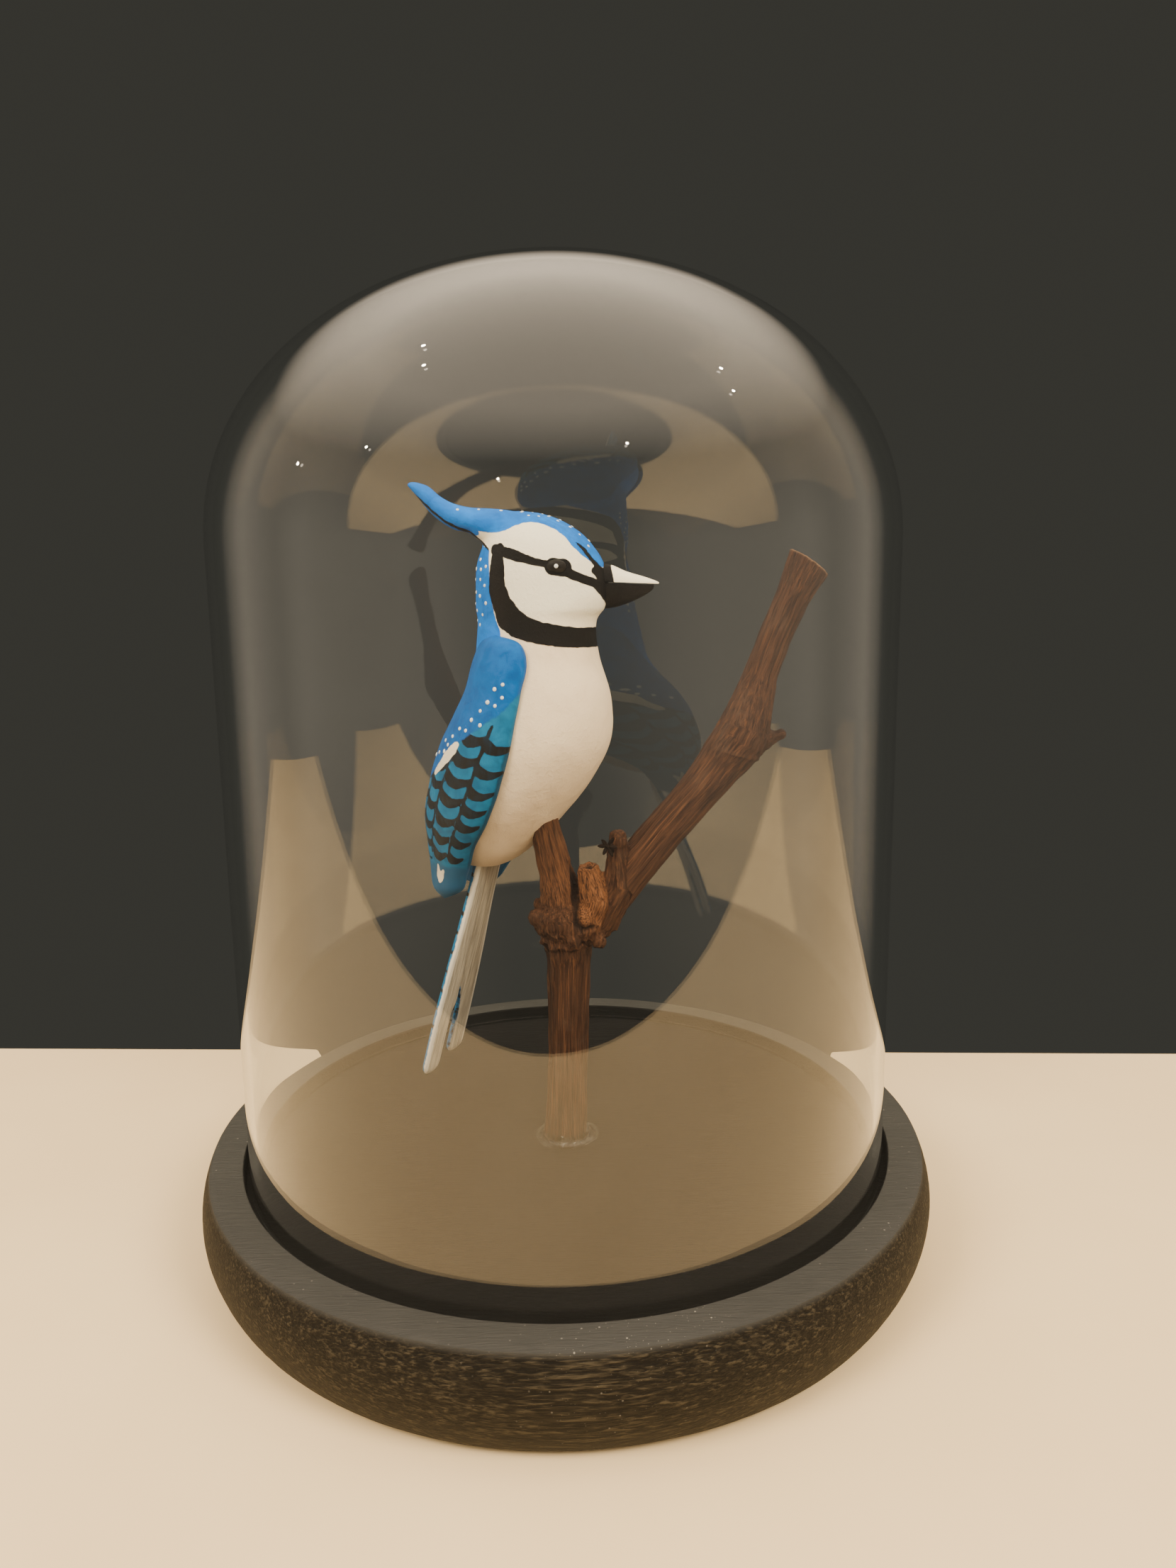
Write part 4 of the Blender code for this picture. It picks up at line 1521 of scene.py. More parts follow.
@dataclass
class Bird:
    """The carved and painted bird."""

    perch_x: float = -5.0
    body_yaw: float = 35.0
    head_yaw: float = 5.0
    body_rings: Table = (
        (114.6, -25.5, 0.0, 0.0, 35), (115.6, -25.2, 6.5, 6.2, 35), (119.5, -23.9, 12.3, 10.8, 35),
        (127.0, -21.1, 17.6, 15.2, 35), (135.5, -17.7, 21.8, 19.2, 35), (146.0, -13.3, 25.1, 21.3, 35),
        (158.0, -8.9, 26.0, 21.8, 35), (171.0, -5.9, 22.8, 19.5, 35), (183.0, -6.5, 19.6, 17.2, 32),
        (193.0, -6.3, 18.4, 15.4, 22), (197.5, -5.2, 19.8, 15.0, 15), (202.0, -4.6, 20.2, 14.6, 10),
        (210.0, -4.8, 19.2, 14.2, 5), (217.0, -5.8, 15.8, 12.8, 5), (222.0, -8.0, 11.8, 10.0, 5),
        (225.3, -10.5, 7.0, 6.2, 5), (226.5, -12.0, 0.0, 0.0, 5),
    )
    wing_rings: Table = (
        (189.8, -6.5, 18.6, 16.2, 99, 0, 0.0, 0.9), (187.8, -6.5, 19.2, 16.8, 98, 24, 2.6, 0.9),
        (182.0, -6.5, 20.3, 17.7, 102.5, 36, 3.9, 0.9), (174.0, -6.0, 22.4, 19.2, 111, 38.5, 4.0, 0.9),
        (166.0, -7.0, 24.7, 20.7, 115.5, 42, 4.1, 0.7), (156.0, -9.6, 26.5, 22.1, 117.5, 45.5, 4.2, 0.45),
        (145.0, -13.4, 26.2, 21.7, 117, 46, 4.0, 0.2), (134.0, -17.9, 23.8, 19.8, 116, 45, 3.8, 0.0),
        (124.0, -23.3, 18.2, 16.0, 114, 43, 3.4, 0.0), (114.0, -28.3, 12.8, 11.8, 110, 44, 3.0, 0.0),
        (107.5, -31.2, 9.9, 9.6, 104, 40, 2.5, 0.0), (103.8, -32.5, 8.8, 8.8, 102, 0, 0.0, 0.0),
    )
    crest_rings: Table = (
        (4.0, 218.0, 0.0, 0.0), (0.0, 218.8, 4.3, 4.5), (-8.0, 220.0, 6.2, 7.0), (-16.0, 221.9, 5.3, 6.4),
        (-21.0, 223.7, 3.9, 5.2), (-25.6, 224.9, 3.9, 4.4), (-29.6, 227.2, 3.8, 3.6), (-33.0, 230.2, 3.7, 2.9),
        (-36.2, 232.8, 2.3, 2.0), (-38.6, 234.3, 0.9, 1.2), (-39.6, 234.4, 0.0, 0.0),
    )
    upper_beak: Table = (
        (12.0, 205.5, 0.0, 0.0), (13.5, 205.5, 5.6, 5.6), (20.5, 204.7, 5.5, 4.9), (26.0, 204.4, 3.5, 3.4),
        (31.5, 204.3, 1.9, 1.9), (35.0, 204.3, 0.6, 0.8), (35.7, 204.4, 0.0, 0.0),
    )
    lower_beak: Table = (
        (12.0, 203.4, 0.0, 0.0), (13.5, 203.4, 5.8, 5.3), (20.5, 203.6, 6.5, 4.6), (26.0, 203.7, 5.3, 3.2),
        (31.0, 203.9, 3.3, 1.9), (33.6, 203.6, 1.3, 0.9), (34.2, 203.5, 0.0, 0.0),
    )
    parting: tuple[float, float] = (205.75, -0.05)
    tail_root: tuple[float, float] = (-22.0, 121.0)
    tail_tip: tuple[float, float] = (-48.4, 38.7)
    tail_thickness: float = 3.2
    tail_half_widths: tuple[float, ...] = (6.0, 6.6, 8.2, 9.2, 9.3)
    tail_shorter: float = 5.0
    eye_centre: tuple[float, float, float] = (6.0, 13.2, 209.3)
    crest_seam: tuple[float, float] = (-15.5, 212.0)
    seam_reach: tuple[float, float] = (8.5, 11.0)
    seam_rounds: int = 14
    slit_from: float = 0.68
    slit_half_width: float = 1.45
    dot_radii: tuple[float, float, float] = (0.55, 0.45, 0.62)
    voxel_mm: float = 0.5
    necklace: Stroke = Stroke(
        (
            (129.5, 213.6, 2.1), (127, 208.5, 2.6), (124, 203.2, 2.75), (115, 198.9, 2.7), (102, 194.9, 2.9),
            (87, 192.4, 3.0), (70, 190.8, 3.0), (53, 189.8, 2.9), (32, 189.0, 2.9), (0, 188.8, 2.9),
        )
    )
    face_strokes: tuple[Stroke, ...] = (
        Stroke(((-11.5, 214.4, 1.9), (-10.6, 214.9, 1.5))),
        Stroke(((-11.2, 214.2, 1.6), (-8.8, 213.7, 1.5), (-6.4, 212.8, 1.6), (-3.8, 212.0, 1.4), (0.0, 210.8, 1.1))),
        Stroke(((0.0, 210.8, 1.1), (3.6, 210.1, 1.0))),
        Stroke(((5.2, 209.4, 2.5), (8.0, 209.0, 2.5))),
        Stroke(((8.4, 208.2, 1.4), (12.2, 206.3, 1.3), (15.9, 204.9, 1.3), (19.0, 204.0, 1.3))),
        Stroke(((17.0, 208.2, 1.1), (19.2, 207.0, 2.1), (21.5, 206.2, 2.4))),
        Stroke(((17.6, 204.2, 1.4), (19.6, 201.5, 1.2), (20.5, 199.0, 0.8))),
        Stroke(((11.5, 216.3, 0.25), (13.7, 214.4, 0.5), (15.2, 212.5, 0.55), (17.4, 209.6, 0.6))),
        Stroke(((17.4, 209.6, 0.6), (18.9, 208.2, 0.7))),
    )
    crown_line: Table = (
        (-40.0, 219.0), (-20.0, 220.9), (-16.2, 219.9), (-12.1, 219.4), (-9.3, 220.0), (-6.1, 221.4), (-3.6, 222.2),
        (-0.4, 222.2), (2.7, 221.4), (5.9, 219.8), (8.4, 217.8), (11.0, 214.7), (13.4, 212.5), (15.9, 210.6),
        (17.4, 209.4), (20.5, 208.9),
    )
    nape_line: Table = (
        (100.0, 98.0), (180.0, 98.0), (189.2, 101.0), (191.3, 105.0), (194.5, 115.0), (198.2, 124.0), (203.3, 132.0),
        (209.5, 137.0), (214.6, 143.0), (217.2, 180.0), (230.0, 260.0),
    )
    crest_underline: Table = (
        (-40.0, 233.6), (-36.0, 230.6), (-32.0, 226.8), (-28.0, 223.4), (-24.0, 221.3), (-20.5, 220.2),
        (-17.7, 217.6), (-14.1, 214.6),
    )
    nape_dots: Table = (
        (157, 211.9), (167, 209.3), (151, 209.0), (142.5, 209.8), (176, 206.2), (150, 206.1), (141, 204.3),
        (162, 202.4), (148, 201.3), (135, 199.2), (171, 199.0), (155, 197.0), (138, 195.8), (163, 194.0),
        (142, 192.8), (176, 192.6),
    )
    crown_dots: Table = (
        (-23.8, 3.6, 226.6), (-17.5, 3.4, 227.6), (-10.8, 3.2, 227.0), (-5.0, 1.2, 227.0), (-2.5, 4.7, 225.1),
        (0.5, 4.1, 224.8), (3.2, 1.0, 225.0), (6.1, 2.6, 223.4), (9.7, 2.4, 221.4), (12.4, 3.3, 218.8),
        (15.0, 5.1, 215.3), (14.6, 0.9, 216.8),
    )
    wing_dots: Table = (
        (83, 176.2), (89, 174.8), (83, 172.5), (93, 171.0), (87, 170.1), (97, 168.4), (102, 165.6), (94, 164.3),
        (110, 162.7), (104, 162.4), (114, 160.2), (116, 157.5), (118, 155.4), (122, 158.6), (127, 154.6),
        (136, 153.4),
    )
    mantle_line: Table = (
        (60, 178.0), (73, 173.3), (76, 171.3), (84, 167.3), (90, 165.1), (97, 162.3), (104, 159.4), (113, 154.2),
        (122, 149.8), (135, 146.0), (150, 143.0), (170, 141.0),
    )
    shafts: Table = (
        (86.0, 0.17, 164.6, 120.5), (105.5, 0.27, 156.5, 121.0), (122.5, 0.27, 149.0, 117.0),
        (139.5, 0.27, 145.0, 119.0),
    )
    feather_rows: tuple[FeatherRow, ...] = (
        FeatherRow(69.0, 86.0, 0.17, (158.6, 151.2, 144.4, 138.6, 133.2, 127.2, 121.2), 1.7, 0.7, 0.95, 0.35),
        FeatherRow(86.0, 105.5, 0.22, (161.4, 154.9, 148.4, 142.0, 135.2, 128.6, 122.6), 2.0, 1.0, 1.15, 0.10),
        FeatherRow(105.5, 122.5, 0.27, (152.6, 146.6, 139.6, 132.8, 126.2, 119.6), 1.8, 0.8, 1.0, 0.05),
        FeatherRow(122.5, 139.5, 0.27, (149.0, 142.4, 135.6, 129.0, 122.6, 116.8), 1.8, 0.6, 1.0, 0.0),
        FeatherRow(139.5, 156.0, 0.27, (144.6, 138.4, 132.0, 125.6, 119.8), 1.6, 0.4, 0.9, 0.0),
    )
    wing_white: tuple[Stroke, ...] = (
        Stroke(((107.5, 157.8, 1.2), (109.5, 156.0, 1.75), (113.0, 153.6, 1.75), (117.0, 151.4, 1.5))),
        Stroke(((117.0, 151.4, 1.5), (122.5, 148.6, 1.1))),
        Stroke(((101.0, 112.6, 2.3), (97.5, 114.8, 0.9))),
        Stroke(((101.0, 112.6, 2.3), (105.0, 113.4, 1.6), (106.0, 117.0, 0.5))),
    )

    # ---- places on the bird

    def point(self, forward: Array, right: Array, height: Array, yaw: Array | float) -> Array:
        """Turn places on the bird, in mm, into places in the scene.

        Args:
            forward: how far towards its front.
            right: how far to its right.
            height: the height.
            yaw: how far that part of it is turned to the viewer, in degrees.

        Returns:
            The places, in metres.
        """
        turn = np.radians(yaw)
        x = self.perch_x + forward * np.cos(turn) - right * np.sin(turn)
        y = -forward * np.sin(turn) - right * np.cos(turn)
        return np.stack(np.broadcast_arrays(x, y, height), -1) * MM

    def spot(self, forward: float, right: float, height: float) -> Array:
        """Turn one place on the head, in mm, into a place in the scene, in metres."""
        return self.point(np.array([forward]), np.array([right]), np.array([height]), self.head_yaw)[0]

    def flank(self, ring: Array, yaw: Array | float, angle: Array, sink: float = 0.0) -> Array:
        """Place points on the oval round body rings.

        Args:
            ring: rows of height, centre x, half length and half width, in mm.
            yaw: the rings' yaw, in degrees.
            angle: the angle round them from the bird's front to its right, in radians.
            sink: how far inside the oval, in mm.

        Returns:
            The places, in metres.
        """
        height, centre_x, length, width = (ring[:, k] for k in range(4))
        spine = (centre_x - self.perch_x) / math.cos(math.radians(self.body_yaw))
        middle = self.point(spine, np.zeros(len(ring)), height, self.body_yaw)
        length, width = np.maximum(length - sink, 0.0), np.maximum(width - sink, 0.0)
        offset = self.point(length * np.cos(angle), width * np.sin(angle), np.zeros(len(ring)), yaw)
        offset[:, 0] -= self.perch_x * MM
        return middle + offset

    def on_body(self, t: Array, angle: Array) -> Array:
        """Place points on the body and head."""
        ring = smooth_rows(self.body_rings, t)
        return self.flank(ring, ring[:, 4], angle)

    def on_wing(self, side: Side) -> Place:
        """Return the function that places points on a wing.

        Args:
            side: Which wing.

        Returns:
            The function, which takes shares along the wing and angles round it.
        """

        def place(t: Array, angle: Array) -> Array:
            """Place points on the wing's skin, in metres.

            Args:
                t: Shares of the way along it, 0 to 1.
                angle: Angles round it, in radians.

            Returns:
                One row of x, y and z for each point.
            """
            ring = smooth_rows(self.wing_rings, 1.0 - t)
            round_flank = np.radians(ring[:, 4] + np.maximum(ring[:, 5], 0.0) * np.cos(angle))
            thick = np.maximum(ring[:, 6], 0.0) * (1.0 - ring[:, 7] * np.maximum(np.cos(angle), 0.0))
            out = thick * np.maximum(np.sin(angle), 0.0) ** 0.6 + np.minimum(np.sin(angle), 0.0) * 1.2
            ring[:, 2:4] += out[:, None]
            return self.flank(ring, self.body_yaw, side.value * round_flank)

        return place

    def on_head(self, rows: Table, half: int = 0) -> Place:
        """Return the function that places points on the crest, or on the beak above (1) or below (-1) its opening.

        Args:
            rows: The piece's outline, a row for each station.
            half: Which half of the beak, or 0 for the whole.

        Returns:
            The function, which takes shares along the piece and angles round it.
        """

        def place(t: Array, angle: Array) -> Array:
            """Place points on the piece's skin, in metres.

            Args:
                t: Shares of the way along it, 0 to 1.
                angle: Angles round it, in radians.

            Returns:
                One row of x, y and z for each point.
            """
            forward, height, tall, wide = smooth_rows(rows, t).T
            up = height + np.maximum(tall, 0.0) * np.sin(angle)
            if half:
                opening = self.parting[0] + self.parting[1] * forward + half * 0.15
                up = half * np.maximum(half * up, half * opening)
            return self.point(forward, np.maximum(wide, 0.0) * np.cos(angle), up, self.head_yaw)

        return place

    def head_view(self, at: Array) -> tuple[Array, Array, Array]:
        """Read places, in metres, as forward, right and height on the head, in mm.

        Args:
            at: One row of x, y and z for each place.

        Returns:
            Forward, right and height, one number for each place.
        """
        turn = math.radians(self.head_yaw)
        x, y = at[:, 0] / MM - self.perch_x, at[:, 1] / MM
        return x * math.cos(turn) - y * math.sin(turn), -x * math.sin(turn) - y * math.cos(turn), at[:, 2] / MM

    def ring_angle(self, at: Array, rows: Table, yaw_column: int | None) -> Array:
        """Read the angle, in degrees, of places round the body from the bird's front to its side and back.

        Args:
            at: the places, in metres.
            rows: the rings that they lie round.
            yaw_column: which column of the rings is their yaw, or None for the body's.

        Returns:
            The angles, from 0 in front to 180 behind, the same on both sides.
        """
        table = smooth_rows(rows, np.linspace(0.0, 1.0, 400))
        order = np.argsort(table[:, 0])
        columns = table[order].T
        ring = np.stack([np.interp(at[:, 2] / MM, columns[0], column) for column in columns], 1)
        yaw = np.radians(self.body_yaw if yaw_column is None else ring[:, yaw_column])
        spine = (ring[:, 1] - self.perch_x) / math.cos(math.radians(self.body_yaw))
        middle = self.point(spine, np.zeros(len(ring)), ring[:, 0], self.body_yaw)
        x, y = (at[:, 0] - middle[:, 0]) / MM, (at[:, 1] - middle[:, 1]) / MM
        forward, right = x * np.cos(yaw) - y * np.sin(yaw), -x * np.sin(yaw) - y * np.cos(yaw)
        across, along = np.abs(right) / np.maximum(ring[:, 3], 0.5), forward / np.maximum(ring[:, 2], 0.5)
        return np.degrees(np.arctan2(across, along))

    # ---- pieces

    def carved_body(self) -> Mesh:
        """Carve the body, head and crest in one, with knife marks, and mark where each paint goes.

        Returns:
            The mesh of body, head and crest.
        """
        bm = bmesh.new()
        shaped_sphere(bm, self.on_body, 160, 180)
        shaped_sphere(bm, self.on_head(self.crest_rings), 64, 96)
        bm = fused(bm, self.voxel_mm, 1)
        forward, right, height = self.head_view(corners(bm))
        seam_at, seam_low = self.crest_seam
        reach, half_width = self.seam_reach
        seam = (np.abs(forward - seam_at) < reach) & (height > seam_low) & (np.abs(right) < half_width)
        soft = [v for v, near in zip(bm.verts, seam) if near]
        for _ in range(self.seam_rounds):
            bmesh.ops.smooth_vert(bm, verts=soft, factor=0.5, use_axis_x=True, use_axis_y=True, use_axis_z=True)
        at = corners(bm)
        push_out(bm, at, ripple(at / MM, 13.0, 2) * 0.16 + ripple(at / MM + 40.0, 4.0, 2) * 0.05)
        at = corners(bm)
        mesh = made_mesh(bm, "carved_body", 180.0)
        forward, right, height = self.head_view(at)
        angle = self.ring_angle(at, self.body_rings, 4)
        crown = np.interp(forward, *np.array(self.crown_line).T) - height
        nape = (np.interp(height, *np.array(self.nape_line).T) - angle) * 0.30
        under = height - np.interp(forward, *np.array(self.crest_underline).T)
        crest = np.where((height > 219.0) & (forward < -17.5), -2.0, FAR)
        blue = np.minimum(np.minimum(crown, nape), crest)
        black = self.collar(angle, height)
        for stroke in self.face_strokes:
            black = np.minimum(black, stroke.edge(forward, height))
        black = np.minimum(black, np.where(forward < -14.1, np.abs(under) - 0.45, FAR))
        carry(mesh, "blue", blue)
        carry(mesh, "black", black)
        # height above the necklace, which sets how much painted highlight the head gets
        carry(mesh, "face", height - 188.0)
        return mesh

    def collar(self, angle: Array, height: Array) -> Array:
        """Measure how far places are outside the necklace, which is drawn in degrees round the neck.

        Args:
            angle: Where the places are round the neck.
            height: How high they are.

        Returns:
            The distances to the necklace's edge.
        """
        mm_per_degree = 0.30
        drawn = Stroke(tuple((a * mm_per_degree, h, r) for a, h, r in self.necklace.points))
        return drawn.edge(angle * mm_per_degree, height)

    def wing(self, side: Side) -> Mesh:
        """Carve one wing and mark where each paint goes.

        Args:
            side: Which wing.

        Returns:
            The wing's mesh.
        """
        bm = bmesh.new()
        shaped_sphere(bm, self.on_wing(side), 150, 190)
        point_faces_out(bm)
        at = corners(bm)
        at = push_out(bm, at, ripple(at / MM + side.value * 17.0, 10.0, 2) * 0.14)
        mesh = made_mesh(bm, f"wing_{side.name.lower()}", 180.0)
        angle = self.ring_angle(at, self.wing_rings, None)
        height = at[:, 2] / MM
        mm_per_degree = 0.43
        mantle = np.interp(angle, *np.array(self.mantle_line).T) - height
        bars = np.full(len(at), FAR)
        for start, slope, top, bottom in self.shafts:
            away = np.abs(angle - start - slope * (164.0 - height)) * mm_per_degree - 0.50
            ends = np.maximum(height - top, bottom - height)
            bars = np.minimum(bars, np.maximum(away, ends))
        for row in self.feather_rows:
            front, rear = (edge + row.slope * (164.0 - height) for edge in (row.front, row.rear))
            middle, half = (front + rear) / 2, np.maximum(rear - front, 1.0) / 2
            q = (angle - middle) / half
            for bar in row.bars:
                line = bar - row.sag * (1 - q**2) + row.tilt * q
                steep = (2 * row.sag * q + row.tilt) / (half * mm_per_degree)
                thick = row.thick * (1.48 - 0.62 * q**2 + row.lean * q)
                away = np.abs(height - line) / np.sqrt(1 + steep**2) - thick
                bars = np.minimum(bars, np.maximum(away, (np.abs(q) - 1.0) * half * mm_per_degree))
        bars = np.maximum(bars, 118.4 - height)
        white = np.full(len(at), FAR)
        for stroke in self.wing_white:
            drawn = Stroke(tuple((a * mm_per_degree, h, r) for a, h, r in stroke.points))
            white = np.minimum(white, drawn.edge(angle * mm_per_degree, height))
        table = smooth_rows(self.wing_rings, np.linspace(0.0, 1.0, 400))[::-1]
        front = np.interp(height, table[:, 0], table[:, 4] - table[:, 5])
        carry(mesh, "bars", bars)
        carry(mesh, "mantle", mantle)
        carry(mesh, "white", white)
        carry(mesh, "rim", np.maximum((angle - front) * mm_per_degree - 0.8, height - 158.0))
        carry(mesh, "tip", height - 117.0)
        return mesh

    def tail_slat(self, side: Side) -> Mesh:
        """Carve one tail slat, with eased edges, and mark its upper face.

        Args:
            side: Which slat.

        Returns:
            The slat's mesh.
        """
        root, tip = np.array(self.tail_root), np.array(self.tail_tip)
        along = (tip - root) / np.linalg.norm(tip - root)
        length = float(np.linalg.norm(tip - root)) - (self.tail_shorter if side is Side.LEFT else 0.0)
        upward = np.array((along[1], -along[0]))
        bm = bmesh.new()
        bmesh.ops.create_cube(bm, size=1.0)
        lengthwise = [e for e in bm.edges if abs(e.verts[0].co.z - e.verts[1].co.z) > 0.5]
        bmesh.ops.subdivide_edges(bm, edges=lengthwise, cuts=47, use_grid_fill=True)
        crosswise = [e for e in bm.edges if abs(e.verts[0].co.x - e.verts[1].co.x) > 0.5]
        bmesh.ops.subdivide_edges(bm, edges=crosswise, cuts=5, use_grid_fill=True)
        unit = corners(bm)
        t = 0.5 - unit[:, 2]
        width = smooth_rows([(w,) for w in self.tail_half_widths], t)[:, 0]
        edge = 0.5 + unit[:, 0]
        blunt = 1.0 - 0.45 * np.clip((t - 0.955) / 0.045, 0.0, 1.0) ** 2
        slit = 0.2 + self.slit_half_width * np.clip((t - self.slit_from) / 0.05, 0.0, 1.0)
        right = side.value * (slit + (width - slit) * (0.5 + (edge - 0.5) * blunt))
        thick = self.tail_thickness * (1.0 - 0.35 * t) * unit[:, 1] * (1.0 - 0.25 * (2 * edge - 1) ** 2)
        rounding = np.where(t > 0.999, 0.6, 1.0)
        forward = root[0] + along[0] * t * length + upward[0] * thick * rounding
        height = root[1] + along[1] * t * length + upward[1] * thick * rounding
        move_corners(bm, self.point(forward, right, height, self.body_yaw))
        point_faces_out(bm)
        bm.normal_update()
        sharp = [e for e in bm.edges if e.is_manifold and e.calc_face_angle() > math.radians(50)]
        bmesh.ops.bevel(bm, geom=sharp, offset=0.0006, segments=3, profile=0.5, affect="EDGES", material=-1)
        mesh = made_mesh(bm, f"tail_{side.name.lower()}", 60.0)
        at = mesh_corners(mesh)
        turn = math.radians(self.body_yaw)
        x, y = at[:, 0] / MM - self.perch_x, at[:, 1] / MM
        forward, right = x * math.cos(turn) - y * math.sin(turn), -x * math.sin(turn) - y * math.cos(turn)
        flat = np.stack([forward, at[:, 2] / MM], 1) - root
        depth, down = flat @ upward, flat @ along
        carry(mesh, "slat", np.stack([right, depth, down + side.value * 200.0], 1))
        opened = np.clip((down / length - self.slit_from) / 0.05, 0.0, 1.0)
        inner = np.where(down > 0.66 * length, np.abs(right) - 0.55 - self.slit_half_width * opened, FAR)
        carry(mesh, "top", np.minimum(-0.1 - depth, inner))
        bar = np.abs((down - 12.0 - 0.35 * (np.abs(right) - 5.0)) % 7.0 - 3.5) - 0.8
        shaft = np.abs(np.abs(right) - 4.6) - 0.3
        carry(mesh, "bars", np.where(inner < 0.0, 0.0, np.minimum(bar, shaft)))
        reach = np.interp(down / length, np.linspace(0, 1, 5), self.tail_half_widths)
        carry(mesh, "bevel", reach - 1.3 - np.abs(right))
        return mesh

    def eye(self, side: Side) -> Mesh:
        """Make one eye: a low oval boss on the side of the head.

        Args:
            side: Which eye.

        Returns:
            The eye's mesh.
        """
        bm = bmesh.new()
        forward, out, height = self.eye_centre
        centre = self.spot(forward, side.value * out, height)
        place = Matrix.Translation(centre) @ Matrix.Diagonal((1.15, 0.7, 0.8, 1.0))
        bmesh.ops.create_uvsphere(bm, u_segments=48, v_segments=32, radius=2.6 * MM, matrix=place)
        at = corners(bm)
        move_corners(bm, at + (at - centre) * (ripple(at / MM, 1.6, 2) * 0.05)[:, None])
        return made_mesh(bm, f"eye_{side.name.lower()}", 180.0)

    def dots(self, body: Mesh, wings: dict[Side, Mesh]) -> Mesh:
        """Dab the white dots: small domes of paint on the nape, crown and wings, and the glint of each eye.

        Args:
            body: The body's mesh, with the head on it.
            wings: Each wing's mesh, by its side.

        Returns:
            One mesh with all the dots.
        """
        rng = random.Random(11)
        bm = bmesh.new()
        body_skin = skin_of(body)

        def dab(skin: BVHTree, near: Array, radius_mm: float) -> None:
            """Dab one dot where the surface is nearest.

            Args:
                skin: The surface.
                near: A place close to it.
                radius_mm: The dot's radius.
            """
            spot, normal, _, _ = skin.find_nearest(Vector(near))
            size = radius_mm * MM * rng.uniform(0.88, 1.12)
            turn = normal.to_track_quat("Z", "Y").to_matrix().to_4x4()
            shape = Matrix.Diagonal((size * rng.uniform(0.92, 1.1), size, size * 0.42, 1.0))
            place = Matrix.Translation(spot) @ turn @ shape
            bmesh.ops.create_uvsphere(bm, u_segments=14, v_segments=8, radius=1.0, matrix=place)

        for side in Side:
            wing_skin = skin_of(wings[side])
            for angle, height in self.nape_dots:
                ring = self.ring_at(self.body_rings, height)
                near = self.flank(ring[:, :4], ring[0, 4], side.value * np.radians([float(angle)]))
                dab(body_skin, near[0], self.dot_radii[0])
            for forward, right, height in self.crown_dots:
                dab(body_skin, self.spot(forward, side.value * right, height), self.dot_radii[1])
            for angle, height in self.wing_dots:
                ring = self.ring_at(self.wing_rings, height)
                near = self.flank(ring[:, :4], self.body_yaw, side.value * np.radians([float(angle)]), -4.0)
                dab(wing_skin, near[0], self.dot_radii[2])
            forward, out, height = self.eye_centre
            glint = Matrix.Translation(self.spot(forward + 0.2, side.value * (out + 2.0), height + 0.15))
            glint @= Matrix.Diagonal((1, 0.5, 1, 1))
            bmesh.ops.create_uvsphere(bm, u_segments=14, v_segments=8, radius=self.dot_radii[2] * MM, matrix=glint)
        return made_mesh(bm, "white_dots", 60.0)

    def ring_at(self, rows: Table, height: float) -> Array:
        """Read the smooth ring at a height, in mm, as one row.

        Args:
            rows: The rings, one row each.
            height: The height to read at.

        Returns:
            The row of the ring there.
        """
        table = smooth_rows(rows, np.linspace(0.0, 1.0, 400))
        columns = table[np.argsort(table[:, 0])].T
        return np.array([[np.interp(height, columns[0], column) for column in columns]])

    def build(self, bench: Bench) -> None:
        """Make the bird's pieces and put them on the bench.

        Args:
            bench: Where the finished pieces go.
        """
        body = self.carved_body()
        wings = {side: self.wing(side) for side in Side}
        bench.put("carved_body", body, BODY_PAINT, Body.BASE, ["bird_body", "crest"])
        for side in Side:
            word = side.name.lower()
            bench.put(f"carved_wing_{word}", wings[side], WING_PAINT, Body.BASE, [f"wing_{word}"])
            slat = self.tail_slat(side)
            bench.put(f"tail_slat_{word}", slat, TAIL_PAINT, Body.BASE, [f"tail_feather_{word}"])
            bench.put(f"raised_eye_{word}", self.eye(side), BLACK_PAINT, Body.BASE, [f"eye_{word}"])
        beaks = (("upper", self.upper_beak, 1, Slot.WHITE), ("lower", self.lower_beak, -1, Slot.BLACK))
        for word, rows, half, slot in beaks:
            bm = bmesh.new()
            shaped_sphere(bm, self.on_head(rows, half), 72, 60)
            mesh = made_mesh(bm, f"beak_{word}", 50.0)
            forward, _, height = self.head_view(mesh_corners(mesh))
            everywhere = np.ones(len(forward))
            carry(mesh, "blue", everywhere * FAR)
            carry(mesh, "black", forward - 22.4 + 0.2 * (height - 205.0) if half > 0 else everywhere * -5.0)
            # the beaks take the head's painted highlight in full
            carry(mesh, "face", everywhere * 20.0)
            bench.put(f"carved_beak_{word}", mesh, BODY_PAINT, Body.BASE, [f"beak_{word}"])
        bench.put("white_dots", self.dots(body, wings), DOT_PAINT, Body.BASE)


# ---------------------------------------------------------------- studio


@dataclass(frozen=True)
class Lamp:
    """A lamp: where it hangs, its size and power, and whether gloss and glass mirror it."""

    name: str
    at: Colour
    size: float
    watts: float
    mirrored: bool = False
    colour: Colour = (1.0, 0.86, 0.68)


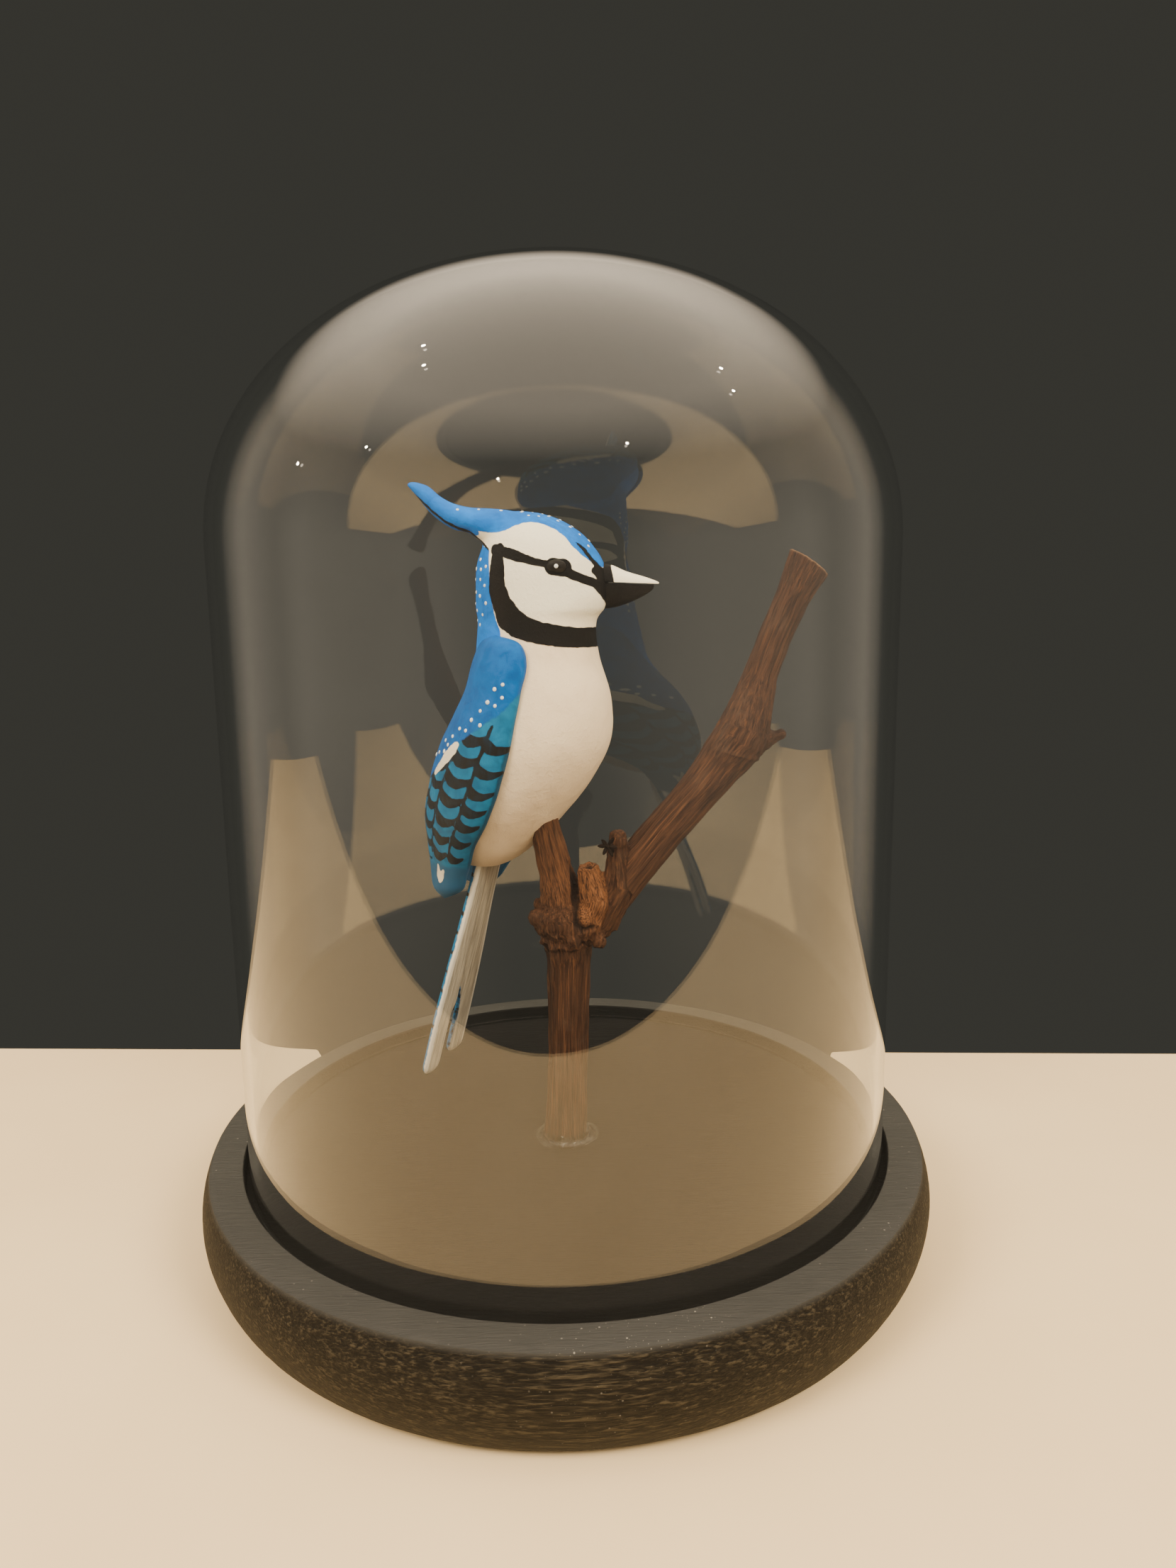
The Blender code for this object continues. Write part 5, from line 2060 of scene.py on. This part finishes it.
@dataclass
class Studio:
    """The pale floor, the soft lights, the room's glow and the camera."""

    floor_half_width: float = 1.2
    floor_front: float = -0.32
    floor_back: float = 0.1266
    floor_thickness: float = 0.03
    floor_turn: float = -4.1
    camera_at: Colour = (0.0, -0.3337, 0.2022)
    pitch: float = 10.04
    yaw: float = 1.455
    roll: float = -0.0147
    focal_share: float = 1535 / 2212
    dark_wall: Colour = (0.0430, 0.0420, 0.0350)
    room: Colour = (0.50, 0.42, 0.32)
    ceiling: Colour = (2.1, 1.72, 1.28)
    lamps: tuple[Lamp, ...] = (
        Lamp("softbox_right", (0.75, -0.85, 1.00), 0.6, 25.5),
        Lamp("softbox_left", (-0.80, -0.75, 0.95), 0.6, 20.0),
        Lamp("spot_left_high", (-0.49, -0.01, 1.25), 0.018, 0.35, True),
        Lamp("spot_left_near", (-0.53, -0.19, 1.22), 0.018, 0.35, True),
        Lamp("spot_left_low", (-1.06, -0.07, 0.67), 0.018, 0.25, True),
        Lamp("spot_left_front", (-0.89, -0.47, 0.82), 0.018, 0.30, True),
        Lamp("spot_front", (-0.32, -1.07, 0.65), 0.016, 0.25, True),
        Lamp("spot_right_front", (0.39, -0.90, 0.88), 0.018, 0.35, True),
        Lamp("spot_right_high", (0.67, -0.07, 1.15), 0.018, 0.35, True),
        Lamp("spot_right_near", (0.76, -0.19, 1.07), 0.018, 0.35, True),
    )

    def floor(self) -> None:
        """Lay the floor: a pale slab with a rounded edge, that ends a little behind the base."""
        bm = bmesh.new()
        middle = (self.floor_front + self.floor_back) / 2
        size = (2 * self.floor_half_width, self.floor_back - self.floor_front, self.floor_thickness, 1.0)
        place = Matrix.Translation((0.0, middle, -self.floor_thickness / 2)) @ Matrix.Diagonal(size)
        turn = Matrix.Rotation(math.radians(self.floor_turn), 4, "Z")
        bmesh.ops.create_cube(bm, size=1.0, matrix=turn @ place)
        bmesh.ops.bevel(bm, geom=bm.edges[:], offset=0.003, segments=4, profile=0.5, affect="EDGES", material=-1)
        mesh = made_mesh(bm, "floor")
        floor = bpy.data.objects.new("floor", mesh)
        bpy.context.scene.collection.objects.link(floor)
        mesh.materials.append(FLOOR.material())
        floor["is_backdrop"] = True

    def lights(self) -> None:
        """Hang the lamps, all pointing at the middle of the dome."""
        for lamp in self.lamps:
            light = bpy.data.lights.new(lamp.name, "AREA")
            light.shape = "DISK"
            light.size = lamp.size
            light.energy = lamp.watts
            light.color = lamp.colour
            holder = bpy.data.objects.new(lamp.name, light)
            bpy.context.scene.collection.objects.link(holder)
            holder.location = lamp.at
            holder.rotation_euler = (Vector((0.0, 0.0, 0.12)) - Vector(lamp.at)).to_track_quat("-Z", "Y").to_euler()
            holder.visible_glossy = lamp.mirrored
            holder.visible_transmission = lamp.mirrored

    def air(self) -> None:
        """Let the room glow: a dark wall behind the object, a dim room in front and a brighter ceiling."""
        world = bpy.data.worlds.new("air")
        bpy.context.scene.world = world
        sheet = Sheet(world)
        way = sheet.coordinates["Generated"]
        across, back, up = (sheet.part(way, axis) for axis in range(3))
        sideways = across.most(0.0 - across)
        open_room = (0.62 - back).between(0.0, 0.22) * (up + 0.60).between(0.0, 0.50)
        open_room = open_room * (0.35 + 0.65 * sideways.between(0.25, 0.75))
        around = sheet.mix(open_room, self.dark_wall, self.room)
        glow = sheet.mix(up.between(0.50, 0.80), around, self.ceiling)
        backdrop = sheet.node("ShaderNodeBackground", {}, {"Color": glow})
        sheet.node("ShaderNodeOutputWorld", {}, {"Surface": backdrop.outputs["Background"]})

    def camera(self) -> None:
        """Set up the camera."""
        pitch, yaw = math.radians(self.pitch), math.radians(self.yaw)
        ahead = Vector((math.sin(yaw) * math.cos(pitch), math.cos(yaw) * math.cos(pitch), -math.sin(pitch)))
        level = Vector((math.cos(yaw), -math.sin(yaw), 0.0))
        upright = level.cross(ahead)
        right = level * math.cos(self.roll) + upright * math.sin(self.roll)
        up = -level * math.sin(self.roll) + upright * math.cos(self.roll)
        lens = bpy.data.cameras.new("camera")
        lens.sensor_fit = "AUTO"
        lens.sensor_width = 36.0
        lens.lens = 36.0 * self.focal_share
        lens.clip_start = 0.01
        camera = bpy.data.objects.new("camera", lens)
        bpy.context.scene.collection.objects.link(camera)
        camera.matrix_world = Matrix.Translation(self.camera_at) @ Matrix((right, up, -ahead)).transposed().to_4x4()
        bpy.context.scene.camera = camera

    def build(self) -> None:
        """Set up the studio."""
        self.camera()
        self.floor()
        self.lights()
        self.air()


def main() -> dict[str, list[list[float]]]:
    """Build everything in order.

    Returns:
        The box of the CAD model and of the visual model, each as its lowest and highest corner.
    """
    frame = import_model()
    cad_box = [list(corner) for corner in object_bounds()]
    bench = Bench(frame["nodes"])
    Studio().build()
    for assembly in (TurnedBase(), VineBranch(), Bird(), GlassDome()):
        assembly.build(bench)
        LOG.info("%s is done", type(assembly).__name__)
    bpy.context.view_layer.update()
    return {"cad_box": cad_box, "visual_box": [list(corner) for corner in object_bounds()]}


if __name__ == "__main__":
    logging.basicConfig(level=logging.INFO, format="%(name)s %(message)s")
    boxes = main()
